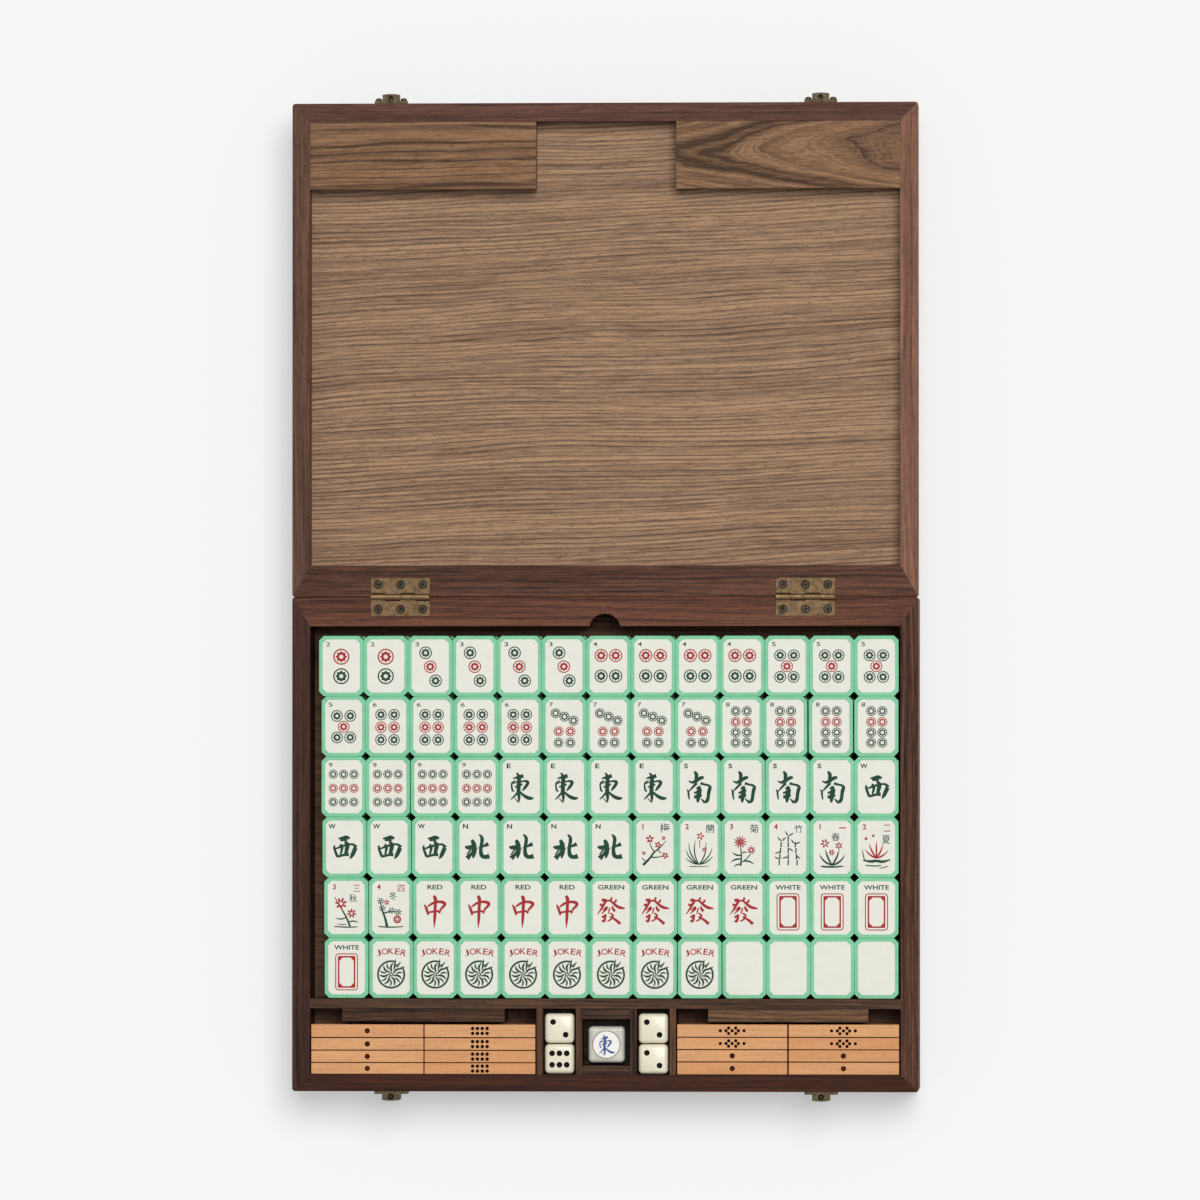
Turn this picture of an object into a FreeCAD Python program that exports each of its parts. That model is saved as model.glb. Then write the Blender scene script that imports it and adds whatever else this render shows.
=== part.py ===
"""A hinged-lid mahjong case, with its set: tiles in two layers, scoring sticks, dice and a wind die.

The frame: X runs along the hinge line to the right, Y to the back, Z up. The origin is on the
surface that the case stands on, straight under the middle of the hinge line. At rest the lid is
folded open by 180 degrees, so its rim lies level with the rim of the base. Lengths are millimetres.
"""

import FreeCAD, Part
import math
import os
import re

import Sketcher
from FreeCAD import Placement, Rotation, Vector

SIZES = {
    # the tiles, which set the size of the case
    "tile_width": 22.2,
    "tile_length": 30.25,
    "tile_thickness": 15.2,
    "tile_corner": 2.3,
    "tile_play": 10.0,
    "tile_right_gap": 1.1,
    "tile_row_gap": 0.26,
    "tile_back_gap": 5.05,
    "tile_front_gap": 0.4,
    "tile_headroom": 1.1,
    "face_inset": 1.75,
    "face_corner": 2.0,
    "face_depth": 3.0,
    # the gap between neighbours in each row of the upper layer, from the back, and in the lower layer
    "row_gap_1": 0.35,
    "row_gap_2": 0.25,
    "row_gap_3": 0.25,
    "row_gap_4": 0.21,
    "row_gap_5": 0.14,
    "row_gap_6": 0.12,
    "lower_gap": 0.2,
    "tile_turn": 0.12,
    # the wooden frames
    "side_rail": 9.0,
    "base_front_rail": 8.6,
    "base_back_rail": 14.7,
    "lid_front_rail": 9.3,
    "lid_back_rail": 15.9,
    "lid_height": 15.0,
    "floor_thickness": 5.0,
    "lid_panel_thickness": 4.5,
    "panel_lip": 4.0,
    "corner_radius": 1.6,
    "edge_radius": 0.6,
    "notch_radius": 8.1,
    "notch_setback": 1.8,
    "notch_depth": 26.0,
    # the accessory row
    "divider_thickness": 4.85,
    "partition_thickness": 3.2,
    "accessory_shift": 0.7,
    "finger_gap": 16.3,
    "spacer_width": 6.7,
    "spacer_drop": 0.8,
    "block_drop": 0.5,
    "block_overlap": 1.45,
    "block_gap": 0.3,
    # the sticks
    "stick_width": 6.2,
    "stick_side_gap": 0.22,
    "stick_front_gap": 0.25,
    "stick_back_gap": 0.94,
    "stick_end_gap": 0.7,
    "stick_mid_gap": 0.5,
    "stick_headroom": 0.6,
    # the dice
    "die_size": 15.0,
    "die_round": 1.3,
    "die_side_gap": 0.8,
    "die_front_gap": 0.3,
    "die_gap": 0.5,
    "die_drop": 1.2,
    "wind_die_size": 18.3,
    "wind_die_round": 2.2,
    "wind_die_side_gap": 3.05,
    "wind_die_front_gap": 1.25,
    "wind_die_drop": 2.0,
    "wind_front_block": 4.7,
    "wind_back_block": 5.3,
    "wind_block_drop": 1.5,
    "disc_radius": 7.1,
    "disc_thickness": 0.8,
    "disc_fit": 0.05,
    # the hinges
    "left_hinge_inset": 54.8,
    "right_hinge_inset": 57.0,
    "leaf_length": 29.8,
    "leaf_reach": 9.6,
    "leaf_thickness": 1.0,
    "leaf_drop": 0.15,
    "leaf_fit": 0.1,
    "barrel_radius": 1.6,
    "barrel_relief": 0.45,
    "barrel_gap": 0.1,
    "pin_radius": 0.7,
    "pin_fit": 0.05,
    "hinge_screw_pitch": 11.3,
    "hinge_screw_line": 6.2,
    "hinge_screw_head": 1.85,
    "hinge_screw_sink": 0.4,
    "hinge_screw_shank": 0.8,
    "hinge_screw_length": 8.0,
    "screw_fit": 0.05,
    # the latches
    "left_latch_inset": 50.0,
    "right_latch_inset": 49.2,
    "latch_drop": 0.4,
    "housing_width": 8.9,
    "housing_reach": 4.8,
    "housing_length": 12.0,
    "housing_bow": 22.0,
    "housing_floor": 1.2,
    "housing_plate_width": 16.7,
    "housing_plate": 1.35,
    "keeper_width": 8.6,
    "keeper_reach": 4.8,
    "keeper_length": 5.5,
    "keeper_plate_width": 16.5,
    "keeper_plate": 1.4,
    "keeper_slot": 1.2,
    "keeper_floor": 0.9,
    "bolt_radius": 1.05,
    "bolt_fit": 0.07,
    "bolt_offset": 2.65,
    "bolt_recess": 0.2,
    "bolt_travel": 4.6,
    "bore_mouth_radius": 1.55,
    "bore_mouth_depth": 3.5,
    "pad_width": 2.0,
    "pad_height": 2.6,
    "pad_rise": 1.0,
    "pad_recess": 0.3,
    "pad_fit": 0.15,
    "latch_screw_spread": 6.3,
    "latch_screw_head": 1.25,
    "latch_screw_sink": 0.15,
    "latch_screw_shank": 0.6,
    "latch_screw_length": 6.0,
    "keeper_screw_head": 1.6,
    "keeper_screw_crown": 2.4,
    "keeper_screw_dome": 1.45,
}

COLUMNS = 13
ROWS = 6
STICK_ROWS = 4
STICK_COLUMNS = 2
STICK_LAYERS = 5
HINGE_KNUCKLES = 4

TINY = 1e-6

# Lengths that follow from the sizes, as expressions of them
INNER_X = f"({COLUMNS} * tile_width + tile_play) / 2"
OUTER_X = f"({INNER_X} + side_rail)"
INTERIOR = "(2 * tile_thickness + tile_headroom)"
RIM = f"(floor_thickness + {INTERIOR})"
LID_FACE = f"({RIM} - lid_height)"
LID_PANEL_TOP = f"({LID_FACE} + lid_panel_thickness)"
WELL_BACK = "base_back_rail"
WELL_FRONT = (
    f"(base_back_rail + tile_back_gap + {ROWS} * tile_length + {ROWS - 1} * tile_row_gap + tile_front_gap)"
)
ROW_BACK = f"({WELL_FRONT} + divider_thickness)"
STICKS_DEPTH = (
    f"(spacer_width + stick_back_gap + {STICK_ROWS} * stick_width"
    f" + {STICK_ROWS - 1} * stick_side_gap + stick_front_gap)"
)
DICE_DEPTH = "(2 * die_size + die_gap + 2 * die_front_gap)"
WIND_DEPTH = "(wind_back_block + wind_front_block + wind_die_size + 2 * die_front_gap)"
ACCESSORY_DEPTH = f"max({STICKS_DEPTH}; {DICE_DEPTH}; {WIND_DEPTH})"
ROW_FRONT = f"({ROW_BACK} + {ACCESSORY_DEPTH})"
DEPTH = f"({ROW_FRONT} + base_front_rail)"
DICE_WELL = "(die_size + 2 * die_side_gap)"
WIND_WELL = "(wind_die_size + 2 * wind_die_side_gap)"
INNER_WALL = f"({WIND_WELL} / 2)"
OUTER_WALL = f"({INNER_WALL} + partition_thickness + {DICE_WELL})"
BAY_WALL = f"({OUTER_WALL} + partition_thickness)"
DICE_FLOOR = f"({RIM} - die_drop - die_size)"
WIND_FLOOR = f"({RIM} - wind_die_drop - wind_die_size)"
LATCH_TOP = f"({RIM} - latch_drop)"
LATCH_FOOT = f"({LATCH_TOP} - housing_length)"
BOLT_FOOT = f"({LATCH_FOOT} + housing_floor)"
BOLT_TOP = f"({LATCH_TOP} - bolt_recess)"
PAD_LOW = f"({BOLT_FOOT} + pad_rise)"

doc = FreeCAD.newDocument("mahjong_case")
sheet = doc.addObject("Spreadsheet::Sheet", "Sizes")
nodes = []


def fill_sheet():
    for row, (name, value) in enumerate(SIZES.items(), start=1):
        sheet.set(f"A{row}", name)
        sheet.set(f"B{row}", str(value))
        sheet.setAlias(f"B{row}", name)
    doc.recompute()


def ex(text):
    """The expression with each size's name pointed at its cell."""
    return re.sub(r"[a-z][a-z_0-9]*", lambda m: f"Sizes.{m[0]}" if m[0] in SIZES else m[0], str(text))


def length(text):
    """What an expression of the sizes comes to now."""
    value = sheet.evalExpression(ex(text))
    return float(getattr(value, "Value", value))


def node(made, label):
    """Names a finished sub-part. Its label is also the name of its file."""
    made.Label = label
    nodes.append(made)
    return made


# Solids bound to the sheet


def box(name, x, y, z):
    """A box from its low and high bound along each axis."""
    made = doc.addObject("Part::Box", name)
    for axis, side, (low, high) in zip("xyz", ("Length", "Width", "Height"), (x, y, z)):
        made.setExpression(side, ex(f"({high}) - ({low})"))
        made.setExpression(f"Placement.Base.{axis}", ex(low))
    return made


AXES = {
    "x": Rotation(Vector(0, 1, 0), 90),
    "y": Rotation(Vector(1, 0, 0), -90),
    "z": Rotation(),
}


def stand(made, at, axis):
    """Puts a round solid's start at a point, pointing along +X, +Y or +Z."""
    made.Placement = Placement(Vector(), AXES[axis])
    for name, where in zip("xyz", at):
        made.setExpression(f"Placement.Base.{name}", ex(where))
    return made


def cylinder(name, radius, long, at, axis="z"):
    made = doc.addObject("Part::Cylinder", name)
    made.setExpression("Radius", ex(radius))
    made.setExpression("Height", ex(long))
    return stand(made, at, axis)


def cone(name, low_radius, high_radius, long, at, axis="z"):
    made = doc.addObject("Part::Cone", name)
    made.setExpression("Radius1", ex(low_radius))
    made.setExpression("Radius2", ex(high_radius))
    made.setExpression("Height", ex(long))
    return stand(made, at, axis)


def sphere(name, radius, at):
    made = doc.addObject("Part::Sphere", name)
    made.setExpression("Radius", ex(radius))
    return stand(made, at, "z")


def fuse(name, *shapes):
    made = doc.addObject("Part::MultiFuse", name)
    made.Shapes = list(shapes)
    return made


def cut(name, base, *tools):
    made = doc.addObject("Part::Cut", name)
    made.Base = base
    made.Tool = tools[0] if len(tools) == 1 else fuse(f"{name}_tools", *tools)
    return made


def common(name, base, tool):
    made = doc.addObject("Part::Common", name)
    made.Base = base
    made.Tool = tool
    return made


def rounded(name, base, radius, wanted):
    """Rounds the edges of a solid that the test picks."""
    doc.recompute()
    made = doc.addObject("Part::Fillet", name)
    made.Base = base
    r = length(radius)
    made.Edges = [(i, r, r) for i, edge in enumerate(base.Shape.Edges, start=1) if wanted(edge)]
    return made


def prism(name, outline, low, high):
    """An upright PartDesign body: a sketched outline, padded from one height to another."""
    body = doc.addObject("PartDesign::Body", name)
    sketch = body.newObject("Sketcher::SketchObject", f"{name}_outline")
    plane = next(f for f in body.Origin.OriginFeatures if f.Role == "XY_Plane")
    sketch.AttachmentSupport = [(plane, "")]
    sketch.MapMode = "FlatFace"
    corners = [Vector(length(x), length(y), 0) for x, y in outline]
    count = len(corners)
    for i in range(count):
        sketch.addGeometry(Part.LineSegment(corners[i], corners[(i + 1) % count]), False)
    for i in range(count):
        sketch.addConstraint(Sketcher.Constraint("Coincident", i, 2, (i + 1) % count, 1))
    for i, corner in enumerate(outline):
        for kind, where, now in zip(("DistanceX", "DistanceY"), corner, corners[i]):
            index = sketch.addConstraint(Sketcher.Constraint(kind, -1, 1, i, 1, now))
            sketch.setExpression(f"Constraints[{index}]", ex(where))
    pad = body.newObject("PartDesign::Pad", f"{name}_pad")
    pad.Profile = sketch
    pad.setExpression("Length", ex(f"({high}) - ({low})"))
    body.setExpression("Placement.Base.z", ex(low))
    return body


def copies(label, master, places):
    """One node of separate solids: a copy of the master's shape at each placement."""
    made = doc.addObject("Part::Feature", label)
    made.Shape = Part.Compound([master.Shape.transformed(place.toMatrix()) for place in places])
    return node(made, label)


# The wooden frames


def rail_frame(owner, y, rails, z, tools):
    """Four mitred rails, cut from one block with rounded corners and edges.

    y is the low and high bound of the block, and rails the width of the rail at each.
    """
    (low_y, high_y), (low_rail, high_rail) = y, rails
    block = box(f"{owner}_block", (f"-{OUTER_X}", OUTER_X), y, z)
    upright = rounded(f"{owner}_corners", block, "corner_radius", is_upright)
    levels = [length(bound) for bound in z]
    soft = rounded(f"{owner}_edges", upright, "edge_radius", lambda e: is_level(e, levels))
    frame = cut(f"{owner}_frame", soft, *tools)
    left, right, in_left, in_right = f"-{OUTER_X}", OUTER_X, f"-{INNER_X}", INNER_X
    low_in, high_in = f"({low_y}) + {low_rail}", f"({high_y}) - {high_rail}"
    outlines = {
        "low": [(left, low_y), (right, low_y), (in_right, low_in), (in_left, low_in)],
        "high": [(left, high_y), (in_left, high_in), (in_right, high_in), (right, high_y)],
        "left": [(left, low_y), (in_left, low_in), (in_left, high_in), (left, high_y)],
        "right": [(right, low_y), (right, high_y), (in_right, high_in), (in_right, low_in)],
    }
    return {
        side: common(f"{owner}_{side}", frame, prism(f"{owner}_{side}_mitre", outline, *z))
        for side, outline in outlines.items()
    }


def is_upright(edge):
    bounds = edge.BoundBox
    return bounds.XLength < TINY and bounds.YLength < TINY


def is_level(edge, levels):
    bounds = edge.BoundBox
    return bounds.ZLength < TINY and any(abs(bounds.ZMin - level) < TINY for level in levels)


def through(low, high):
    """A span that runs past both bounds, for a tool that cuts right through."""
    return (f"({low}) - 1", f"({high}) + 1")


def base_rails():
    z = ("0", RIM)
    tools = [
        box("base_hollow", (f"-{INNER_X}", INNER_X), (f"-{ROW_FRONT}", f"-{WELL_BACK}"), through(*z)),
        box("floor_seat", *floor_bounds()),
        cylinder(
            "finger_notch",
            "notch_radius",
            "notch_depth + 1",
            ("0", f"-{WELL_BACK} - notch_setback", f"{RIM} - notch_depth"),
        ),
        *hinge_mortises("base", -1),
        *latch_pilots("base"),
    ]
    y = (f"-{DEPTH}", "0")
    rails = rail_frame("base", y, ("base_front_rail", "base_back_rail"), z, tools)
    node(rails["low"], "base_front_rail")
    node(rails["high"], "base_back_rail")
    node(rails["left"], "base_left_rail")
    node(rails["right"], "base_right_rail")


def floor_bounds():
    """The floor panel reaches under the rails by its lip on all four sides."""
    across = (f"-{INNER_X} - panel_lip", f"{INNER_X} + panel_lip")
    return across, (f"-{ROW_FRONT} - panel_lip", f"-{WELL_BACK} + panel_lip"), ("0", "floor_thickness")


def lid_panel_bounds():
    across = (f"-{INNER_X} - panel_lip", f"{INNER_X} + panel_lip")
    along = ("lid_back_rail - panel_lip", f"{DEPTH} - lid_front_rail + panel_lip")
    return across, along, (LID_FACE, LID_PANEL_TOP)


def lid_rails():
    z = (LID_FACE, RIM)
    inner_y = ("lid_back_rail", f"{DEPTH} - lid_front_rail")
    tools = [
        box("lid_hollow", (f"-{INNER_X}", INNER_X), inner_y, through(*z)),
        box("panel_seat", *lid_panel_bounds()),
        *hinge_mortises("lid", 1),
        *latch_pilots("lid"),
    ]
    rails = rail_frame("lid", ("0", DEPTH), ("lid_back_rail", "lid_front_rail"), z, tools)
    node(rails["low"], "lid_back_rail")
    node(rails["high"], "lid_front_rail")
    node(rails["left"], "lid_left_rail")
    node(rails["right"], "lid_right_rail")


def panels():
    node(box("floor_panel", *floor_bounds()), "base_floor_panel")
    node(box("panel", *lid_panel_bounds()), "lid_panel")


def lid_blocks():
    """Two blocks under the lid that keep the sticks in their bays when it is shut."""
    y = (f"{ROW_BACK} - block_overlap", f"{DEPTH} - lid_front_rail")
    z = (LID_PANEL_TOP, f"{RIM} - block_drop")
    left = (f"-{INNER_X}", f"accessory_shift - {BAY_WALL} - block_gap")
    right = (f"accessory_shift + {BAY_WALL} + block_gap", INNER_X)
    node(box("left_block", left, y, z), "lid_block_left")
    node(box("right_block", right, y, z), "lid_block_right")


# The fittings of the accessory row


def accessory_walls():
    """The divider, the four partitions and the blocks between them."""
    row = (f"-{ROW_FRONT}", f"-{ROW_BACK}")
    z = ("floor_thickness", RIM)
    across = (f"-{INNER_X}", INNER_X)
    node(box("divider", across, (f"-{ROW_BACK}", f"-{WELL_FRONT}"), z), "tile_well_divider")
    partitions = {
        "left_outer": f"accessory_shift - {BAY_WALL}",
        "left_inner": f"accessory_shift - {INNER_WALL} - partition_thickness",
        "right_inner": f"accessory_shift + {INNER_WALL}",
        "right_outer": f"accessory_shift + {OUTER_WALL}",
    }
    for place, low in partitions.items():
        x = (low, f"{low} + partition_thickness")
        node(box(f"partition_{place}", x, row, z), f"dice_partition_{place}")
    spacer_y = (f"-{ROW_BACK} - spacer_width", f"-{ROW_BACK}")
    spacer_z = ("floor_thickness", f"{RIM} - spacer_drop")
    for side, (low, high) in bays().items():
        x = (f"{low} + finger_gap", f"{high} - finger_gap")
        node(box(f"{side}_spacer", x, spacer_y, spacer_z), f"stick_spacer_{side}")


def bays():
    """The low and high X of each stick bay."""
    return {
        "left": (f"-{INNER_X}", f"accessory_shift - {BAY_WALL}"),
        "right": (f"accessory_shift + {BAY_WALL}", INNER_X),
    }


def well_blocks():
    """The raised floors under the dice, and the blocks that close in the wind die."""
    row = (f"-{ROW_FRONT}", f"-{ROW_BACK}")
    wells = {
        "left": (f"accessory_shift - {OUTER_WALL}", f"accessory_shift - {INNER_WALL} - partition_thickness"),
        "right": (f"accessory_shift + {INNER_WALL} + partition_thickness", f"accessory_shift + {OUTER_WALL}"),
    }
    floors = [box(f"{side}_dice_floor", x, row, ("floor_thickness", DICE_FLOOR)) for side, x in wells.items()]
    both = doc.addObject("Part::Compound", "dice_floors")
    both.Links = floors
    node(both, "dice_well_floors")
    x = (f"accessory_shift - {INNER_WALL}", f"accessory_shift + {INNER_WALL}")
    z = (WIND_FLOOR, f"{RIM} - wind_block_drop")
    front = (f"-{ROW_FRONT}", f"-{ROW_FRONT} + wind_front_block")
    back = (f"-{ROW_BACK} - wind_back_block", f"-{ROW_BACK}")
    node(box("wind_floor", x, row, ("floor_thickness", WIND_FLOOR)), "wind_well_floor")
    node(box("wind_front", x, front, z), "wind_well_front_block")
    node(box("wind_back", x, back, z), "wind_well_back_block")


# The screws


def countersunk(name, head, shank, long):
    """A cross-head screw, point down, with the top of its head at the origin."""
    rise = f"{head} - {shank}"
    solid = fuse(
        f"{name}_solid",
        cone(f"{name}_head", shank, head, rise, ("0", "0", f"-({rise})")),
        cylinder(f"{name}_shank", shank, long, ("0", "0", f"-({long})")),
    )
    long_arm, short_arm, deep = f"{head} * 0.6", f"{head} * 0.13", f"({rise}) * 0.5"
    cross = [
        box(f"{name}_slot_{i}", (f"-{a}", a), (f"-{b}", b), (f"-{deep}", "1"))
        for i, (a, b) in enumerate([(long_arm, short_arm), (short_arm, long_arm)])
    ]
    return cut(name, solid, *cross)


def domed(name, head, crown, dome, shank, long):
    """A low-domed screw, point down, with the underside of its head at the origin."""
    ball = sphere(f"{name}_ball", crown, ("0", "0", f"{dome} - {crown}"))
    upper = cylinder(f"{name}_upper", head, dome, ("0", "0", "0"))
    shaft = cylinder(f"{name}_shank", shank, long, ("0", "0", f"-({long})"))
    slot = box(f"{name}_slot", (f"-{head}", head), (f"-{head} * 0.12", f"{head} * 0.12"), (f"{dome} * 0.6", dome))
    return cut(name, fuse(f"{name}_solid", common(f"{name}_cap", ball, upper), shaft), slot)


def hinge_centres():
    return {"left": f"-({OUTER_X} - left_hinge_inset)", "right": f"({OUTER_X} - right_hinge_inset)"}


def latch_centres():
    return {"left": f"-({OUTER_X} - left_latch_inset)", "right": f"({OUTER_X} - right_latch_inset)"}


def hinge_screw_spots(sign):
    """The X and Y of each screw through the leaves on one side of the hinge line."""
    return [
        (f"{centre} + {step} * hinge_screw_pitch", f"{sign} * hinge_screw_line")
        for centre in hinge_centres().values()
        for step in (-1, 0, 1)
    ]


def countersink(name, x, y):
    """The cone that a hinge screw's head sits in, through the leaf and into the wood."""
    top = f"{RIM} - leaf_drop"
    deep = "hinge_screw_head - hinge_screw_shank + hinge_screw_sink"
    wide = "hinge_screw_head + hinge_screw_sink + screw_fit"
    return cone(name, "hinge_screw_shank + screw_fit", wide, deep, (x, y, f"{top} - ({deep})"))


def hinge_mortises(owner, sign):
    """What the hinges need cut from a back rail: a seat for each leaf, room for the knuckles, and screw holes."""
    tools = []
    for side, centre in hinge_centres().items():
        half = "(leaf_length / 2 + leaf_fit)"
        near, far = "-1", "leaf_reach + leaf_fit"
        y = (near, far) if sign > 0 else (f"-({far})", "1")
        x = (f"{centre} - {half}", f"{centre} + {half}")
        tools.append(box(f"{owner}_{side}_mortise", x, y, (f"{RIM} - leaf_drop - leaf_thickness", f"{RIM} + 1")))
        radius = "barrel_radius + barrel_relief"
        at = (f"{centre} - {half}", "0", RIM)
        tools.append(cylinder(f"{owner}_{side}_relief", radius, f"2 * {half}", at, "x"))
    for i, (x, y) in enumerate(hinge_screw_spots(sign)):
        at = (x, y, f"{RIM} - leaf_drop - hinge_screw_sink - hinge_screw_length")
        tools.append(cylinder(f"{owner}_pilot_{i}", "hinge_screw_shank + screw_fit", "hinge_screw_length", at))
        tools.append(countersink(f"{owner}_sink_{i}", x, y))
    return tools


def hinge_leaf(side, centre, owner, sign, first):
    """A leaf with its own knuckles: every second one, from the first."""
    name = f"{side}_{owner}_leaf"
    z = (f"{RIM} - leaf_drop - leaf_thickness", f"{RIM} - leaf_drop")
    clear = "barrel_radius + barrel_relief"
    bounds = (clear, "leaf_reach") if sign > 0 else ("-leaf_reach", f"-({clear})")
    low_x = f"{centre} - leaf_length / 2"
    solids = [box(f"{name}_plate", (low_x, f"{centre} + leaf_length / 2"), bounds, z)]
    for i in range(first, HINGE_KNUCKLES, 2):
        start = f"{low_x} + {i} * leaf_length / {HINGE_KNUCKLES} + barrel_gap / 2"
        long = f"leaf_length / {HINGE_KNUCKLES} - barrel_gap"
        solids.append(cylinder(f"{name}_knuckle_{i}", "barrel_radius", long, (start, "0", RIM), "x"))
        strap = ("0", clear) if sign > 0 else (f"-({clear})", "0")
        solids.append(box(f"{name}_strap_{i}", (start, f"{start} + {long}"), strap, z))
    bore_at = (f"{low_x} - 1", "0", RIM)
    tools = [cylinder(f"{name}_bore", "pin_radius + pin_fit", "leaf_length + 2", bore_at, "x")]
    for i, step in enumerate((-1, 0, 1)):
        x = f"{centre} + {step} * hinge_screw_pitch"
        tools.append(countersink(f"{name}_sink_{i}", x, f"{sign} * hinge_screw_line"))
    node(cut(name, fuse(f"{name}_solid", *solids), *tools), f"{side}_hinge_{owner}_leaf")


def hinges():
    for side, centre in hinge_centres().items():
        hinge_leaf(side, centre, "base", -1, 0)
        hinge_leaf(side, centre, "lid", 1, 1)
        at = (f"{centre} - leaf_length / 2", "0", RIM)
        node(cylinder(f"{side}_pin", "pin_radius", "leaf_length", at, "x"), f"{side}_hinge_pin")


def hinge_screws():
    screw = countersunk("hinge_screw", "hinge_screw_head", "hinge_screw_shank", "hinge_screw_length")
    doc.recompute()
    top = length(f"{RIM} - leaf_drop - hinge_screw_sink")
    for owner, sign in (("base", -1), ("lid", 1)):
        places = [
            Placement(Vector(length(x), length(y), top), Rotation(Vector(0, 0, 1), 25 * i + 8))
            for i, (x, y) in enumerate(hinge_screw_spots(sign))
        ]
        copies(f"{owner}_hinge_screws", screw, places)


# The latches


def latch_screw_spots(owner):
    """The X, Y and Z where each latch screw's head meets the plate."""
    plate, long = ("housing_plate", "housing_length") if owner == "base" else ("keeper_plate", "keeper_length")
    y = f"-{DEPTH} - {plate}" if owner == "base" else f"{DEPTH} + {plate}"
    return [
        (f"{centre} + {step} * latch_screw_spread", y, f"{LATCH_TOP} - {long} / 2")
        for centre in latch_centres().values()
        for step in (-1, 1)
    ]


def latch_pilots(owner):
    """The holes in a front rail for the latch screws."""
    tools = []
    for i, (x, y, z) in enumerate(latch_screw_spots(owner)):
        start = y if owner == "base" else f"{y} - latch_screw_length"
        radius = "latch_screw_shank + screw_fit"
        tools.append(cylinder(f"{owner}_latch_pilot_{i}", radius, "latch_screw_length", (x, start, z), "y"))
    return tools


def housing(side, centre):
    """The lower half of a latch: a plate with a bowed body, bored for the bolt and slotted for its pad."""
    name = f"{side}_housing"
    z = (LATCH_FOOT, LATCH_TOP)
    wall = f"-{DEPTH}"
    plate_x = (f"{centre} - housing_plate_width / 2", f"{centre} + housing_plate_width / 2")
    body_x = (f"{centre} - housing_width / 2", f"{centre} + housing_width / 2")
    plate = box(f"{name}_plate", plate_x, (f"{wall} - housing_plate", wall), z)
    block = box(f"{name}_block", body_x, (f"{wall} - housing_reach", wall), z)
    bow_at = (centre, f"{wall} - housing_reach + housing_bow", LATCH_FOOT)
    body = common(f"{name}_body", block, cylinder(f"{name}_bow", "housing_bow", "housing_length", bow_at))
    axis_y = f"{wall} - bolt_offset"
    mouth = cylinder(
        f"{name}_mouth", "bore_mouth_radius", "bore_mouth_depth + 1", (centre, axis_y, f"{LATCH_TOP} - bore_mouth_depth")
    )
    bore = cylinder(f"{name}_bore", "bolt_radius + bolt_fit", "housing_length", (centre, axis_y, BOLT_FOOT))
    half = "(pad_width / 2 + pad_fit)"
    slot = box(
        f"{name}_slot",
        (f"{centre} - {half}", f"{centre} + {half}"),
        (f"{wall} - housing_reach - 1", axis_y),
        (f"{PAD_LOW} - pad_fit", f"{PAD_LOW} + pad_height + bolt_travel + pad_fit"),
    )
    tools = [mouth, bore, slot]
    for i, step in enumerate((-1, 1)):
        x = f"{centre} + {step} * latch_screw_spread"
        deep = "latch_screw_head - latch_screw_shank + latch_screw_sink"
        wide = "latch_screw_head + latch_screw_sink + screw_fit"
        at = (x, f"{wall} - housing_plate", f"{LATCH_TOP} - housing_length / 2")
        tools.append(cone(f"{name}_sink_{i}", wide, "latch_screw_shank + screw_fit", deep, at, "y"))
        tools.append(cylinder(f"{name}_hole_{i}", "latch_screw_shank + screw_fit", "housing_plate + 1", at, "y"))
    node(cut(name, fuse(f"{name}_solid", plate, body), *tools), f"{side}_latch_housing")


def bolt(side, centre):
    """The round bolt, with a domed end and the thumb pad that slides it."""
    name = f"{side}_bolt"
    axis_y = f"-{DEPTH} - bolt_offset"
    shaft = cylinder(f"{name}_shaft", "bolt_radius", f"{BOLT_TOP} - bolt_radius - {BOLT_FOOT}", (centre, axis_y, BOLT_FOOT))
    dome = sphere(f"{name}_dome", "bolt_radius", (centre, axis_y, f"{BOLT_TOP} - bolt_radius"))
    pad = box(
        f"{name}_pad",
        (f"{centre} - pad_width / 2", f"{centre} + pad_width / 2"),
        (f"-{DEPTH} - housing_reach + pad_recess", axis_y),
        (PAD_LOW, f"{PAD_LOW} + pad_height"),
    )
    node(fuse(name, shaft, dome, pad), f"{side}_latch_bolt")


def keeper(side, centre):
    """The upper half of a latch: a plate and block with the arched slot that takes the bolt."""
    name = f"{side}_keeper"
    z = (f"{LATCH_TOP} - keeper_length", LATCH_TOP)
    plate_x = (f"{centre} - keeper_plate_width / 2", f"{centre} + keeper_plate_width / 2")
    block_x = (f"{centre} - keeper_width / 2", f"{centre} + keeper_width / 2")
    plate = box(f"{name}_plate", plate_x, (DEPTH, f"{DEPTH} + keeper_plate"), z)
    block = box(f"{name}_block", block_x, (DEPTH, f"{DEPTH} + keeper_reach"), z)
    bow_at = (centre, f"{DEPTH} + keeper_reach - housing_bow", z[0])
    body = common(f"{name}_body", block, cylinder(f"{name}_bow", "housing_bow", "keeper_length", bow_at))
    floor = f"{z[0]} + keeper_floor"
    slot_x = (f"{centre} - keeper_slot", f"{centre} + keeper_slot")
    slot = box(f"{name}_slot", slot_x, (f"{DEPTH} - 1", f"{DEPTH} + bolt_offset"), (floor, f"{z[1]} + 1"))
    arch = cylinder(f"{name}_arch", "keeper_slot", "keeper_length", (centre, f"{DEPTH} + bolt_offset", floor))
    tools = [slot, arch]
    for i, step in enumerate((-1, 1)):
        at = (f"{centre} + {step} * latch_screw_spread", f"{DEPTH} - 1", f"{LATCH_TOP} - keeper_length / 2")
        tools.append(cylinder(f"{name}_hole_{i}", "latch_screw_shank + screw_fit", "keeper_plate + 2", at, "y"))
    node(cut(name, fuse(f"{name}_solid", plate, body), *tools), f"{side}_latch_keeper")


def latches():
    for side, centre in latch_centres().items():
        housing(side, centre)
        bolt(side, centre)
        keeper(side, centre)


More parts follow.
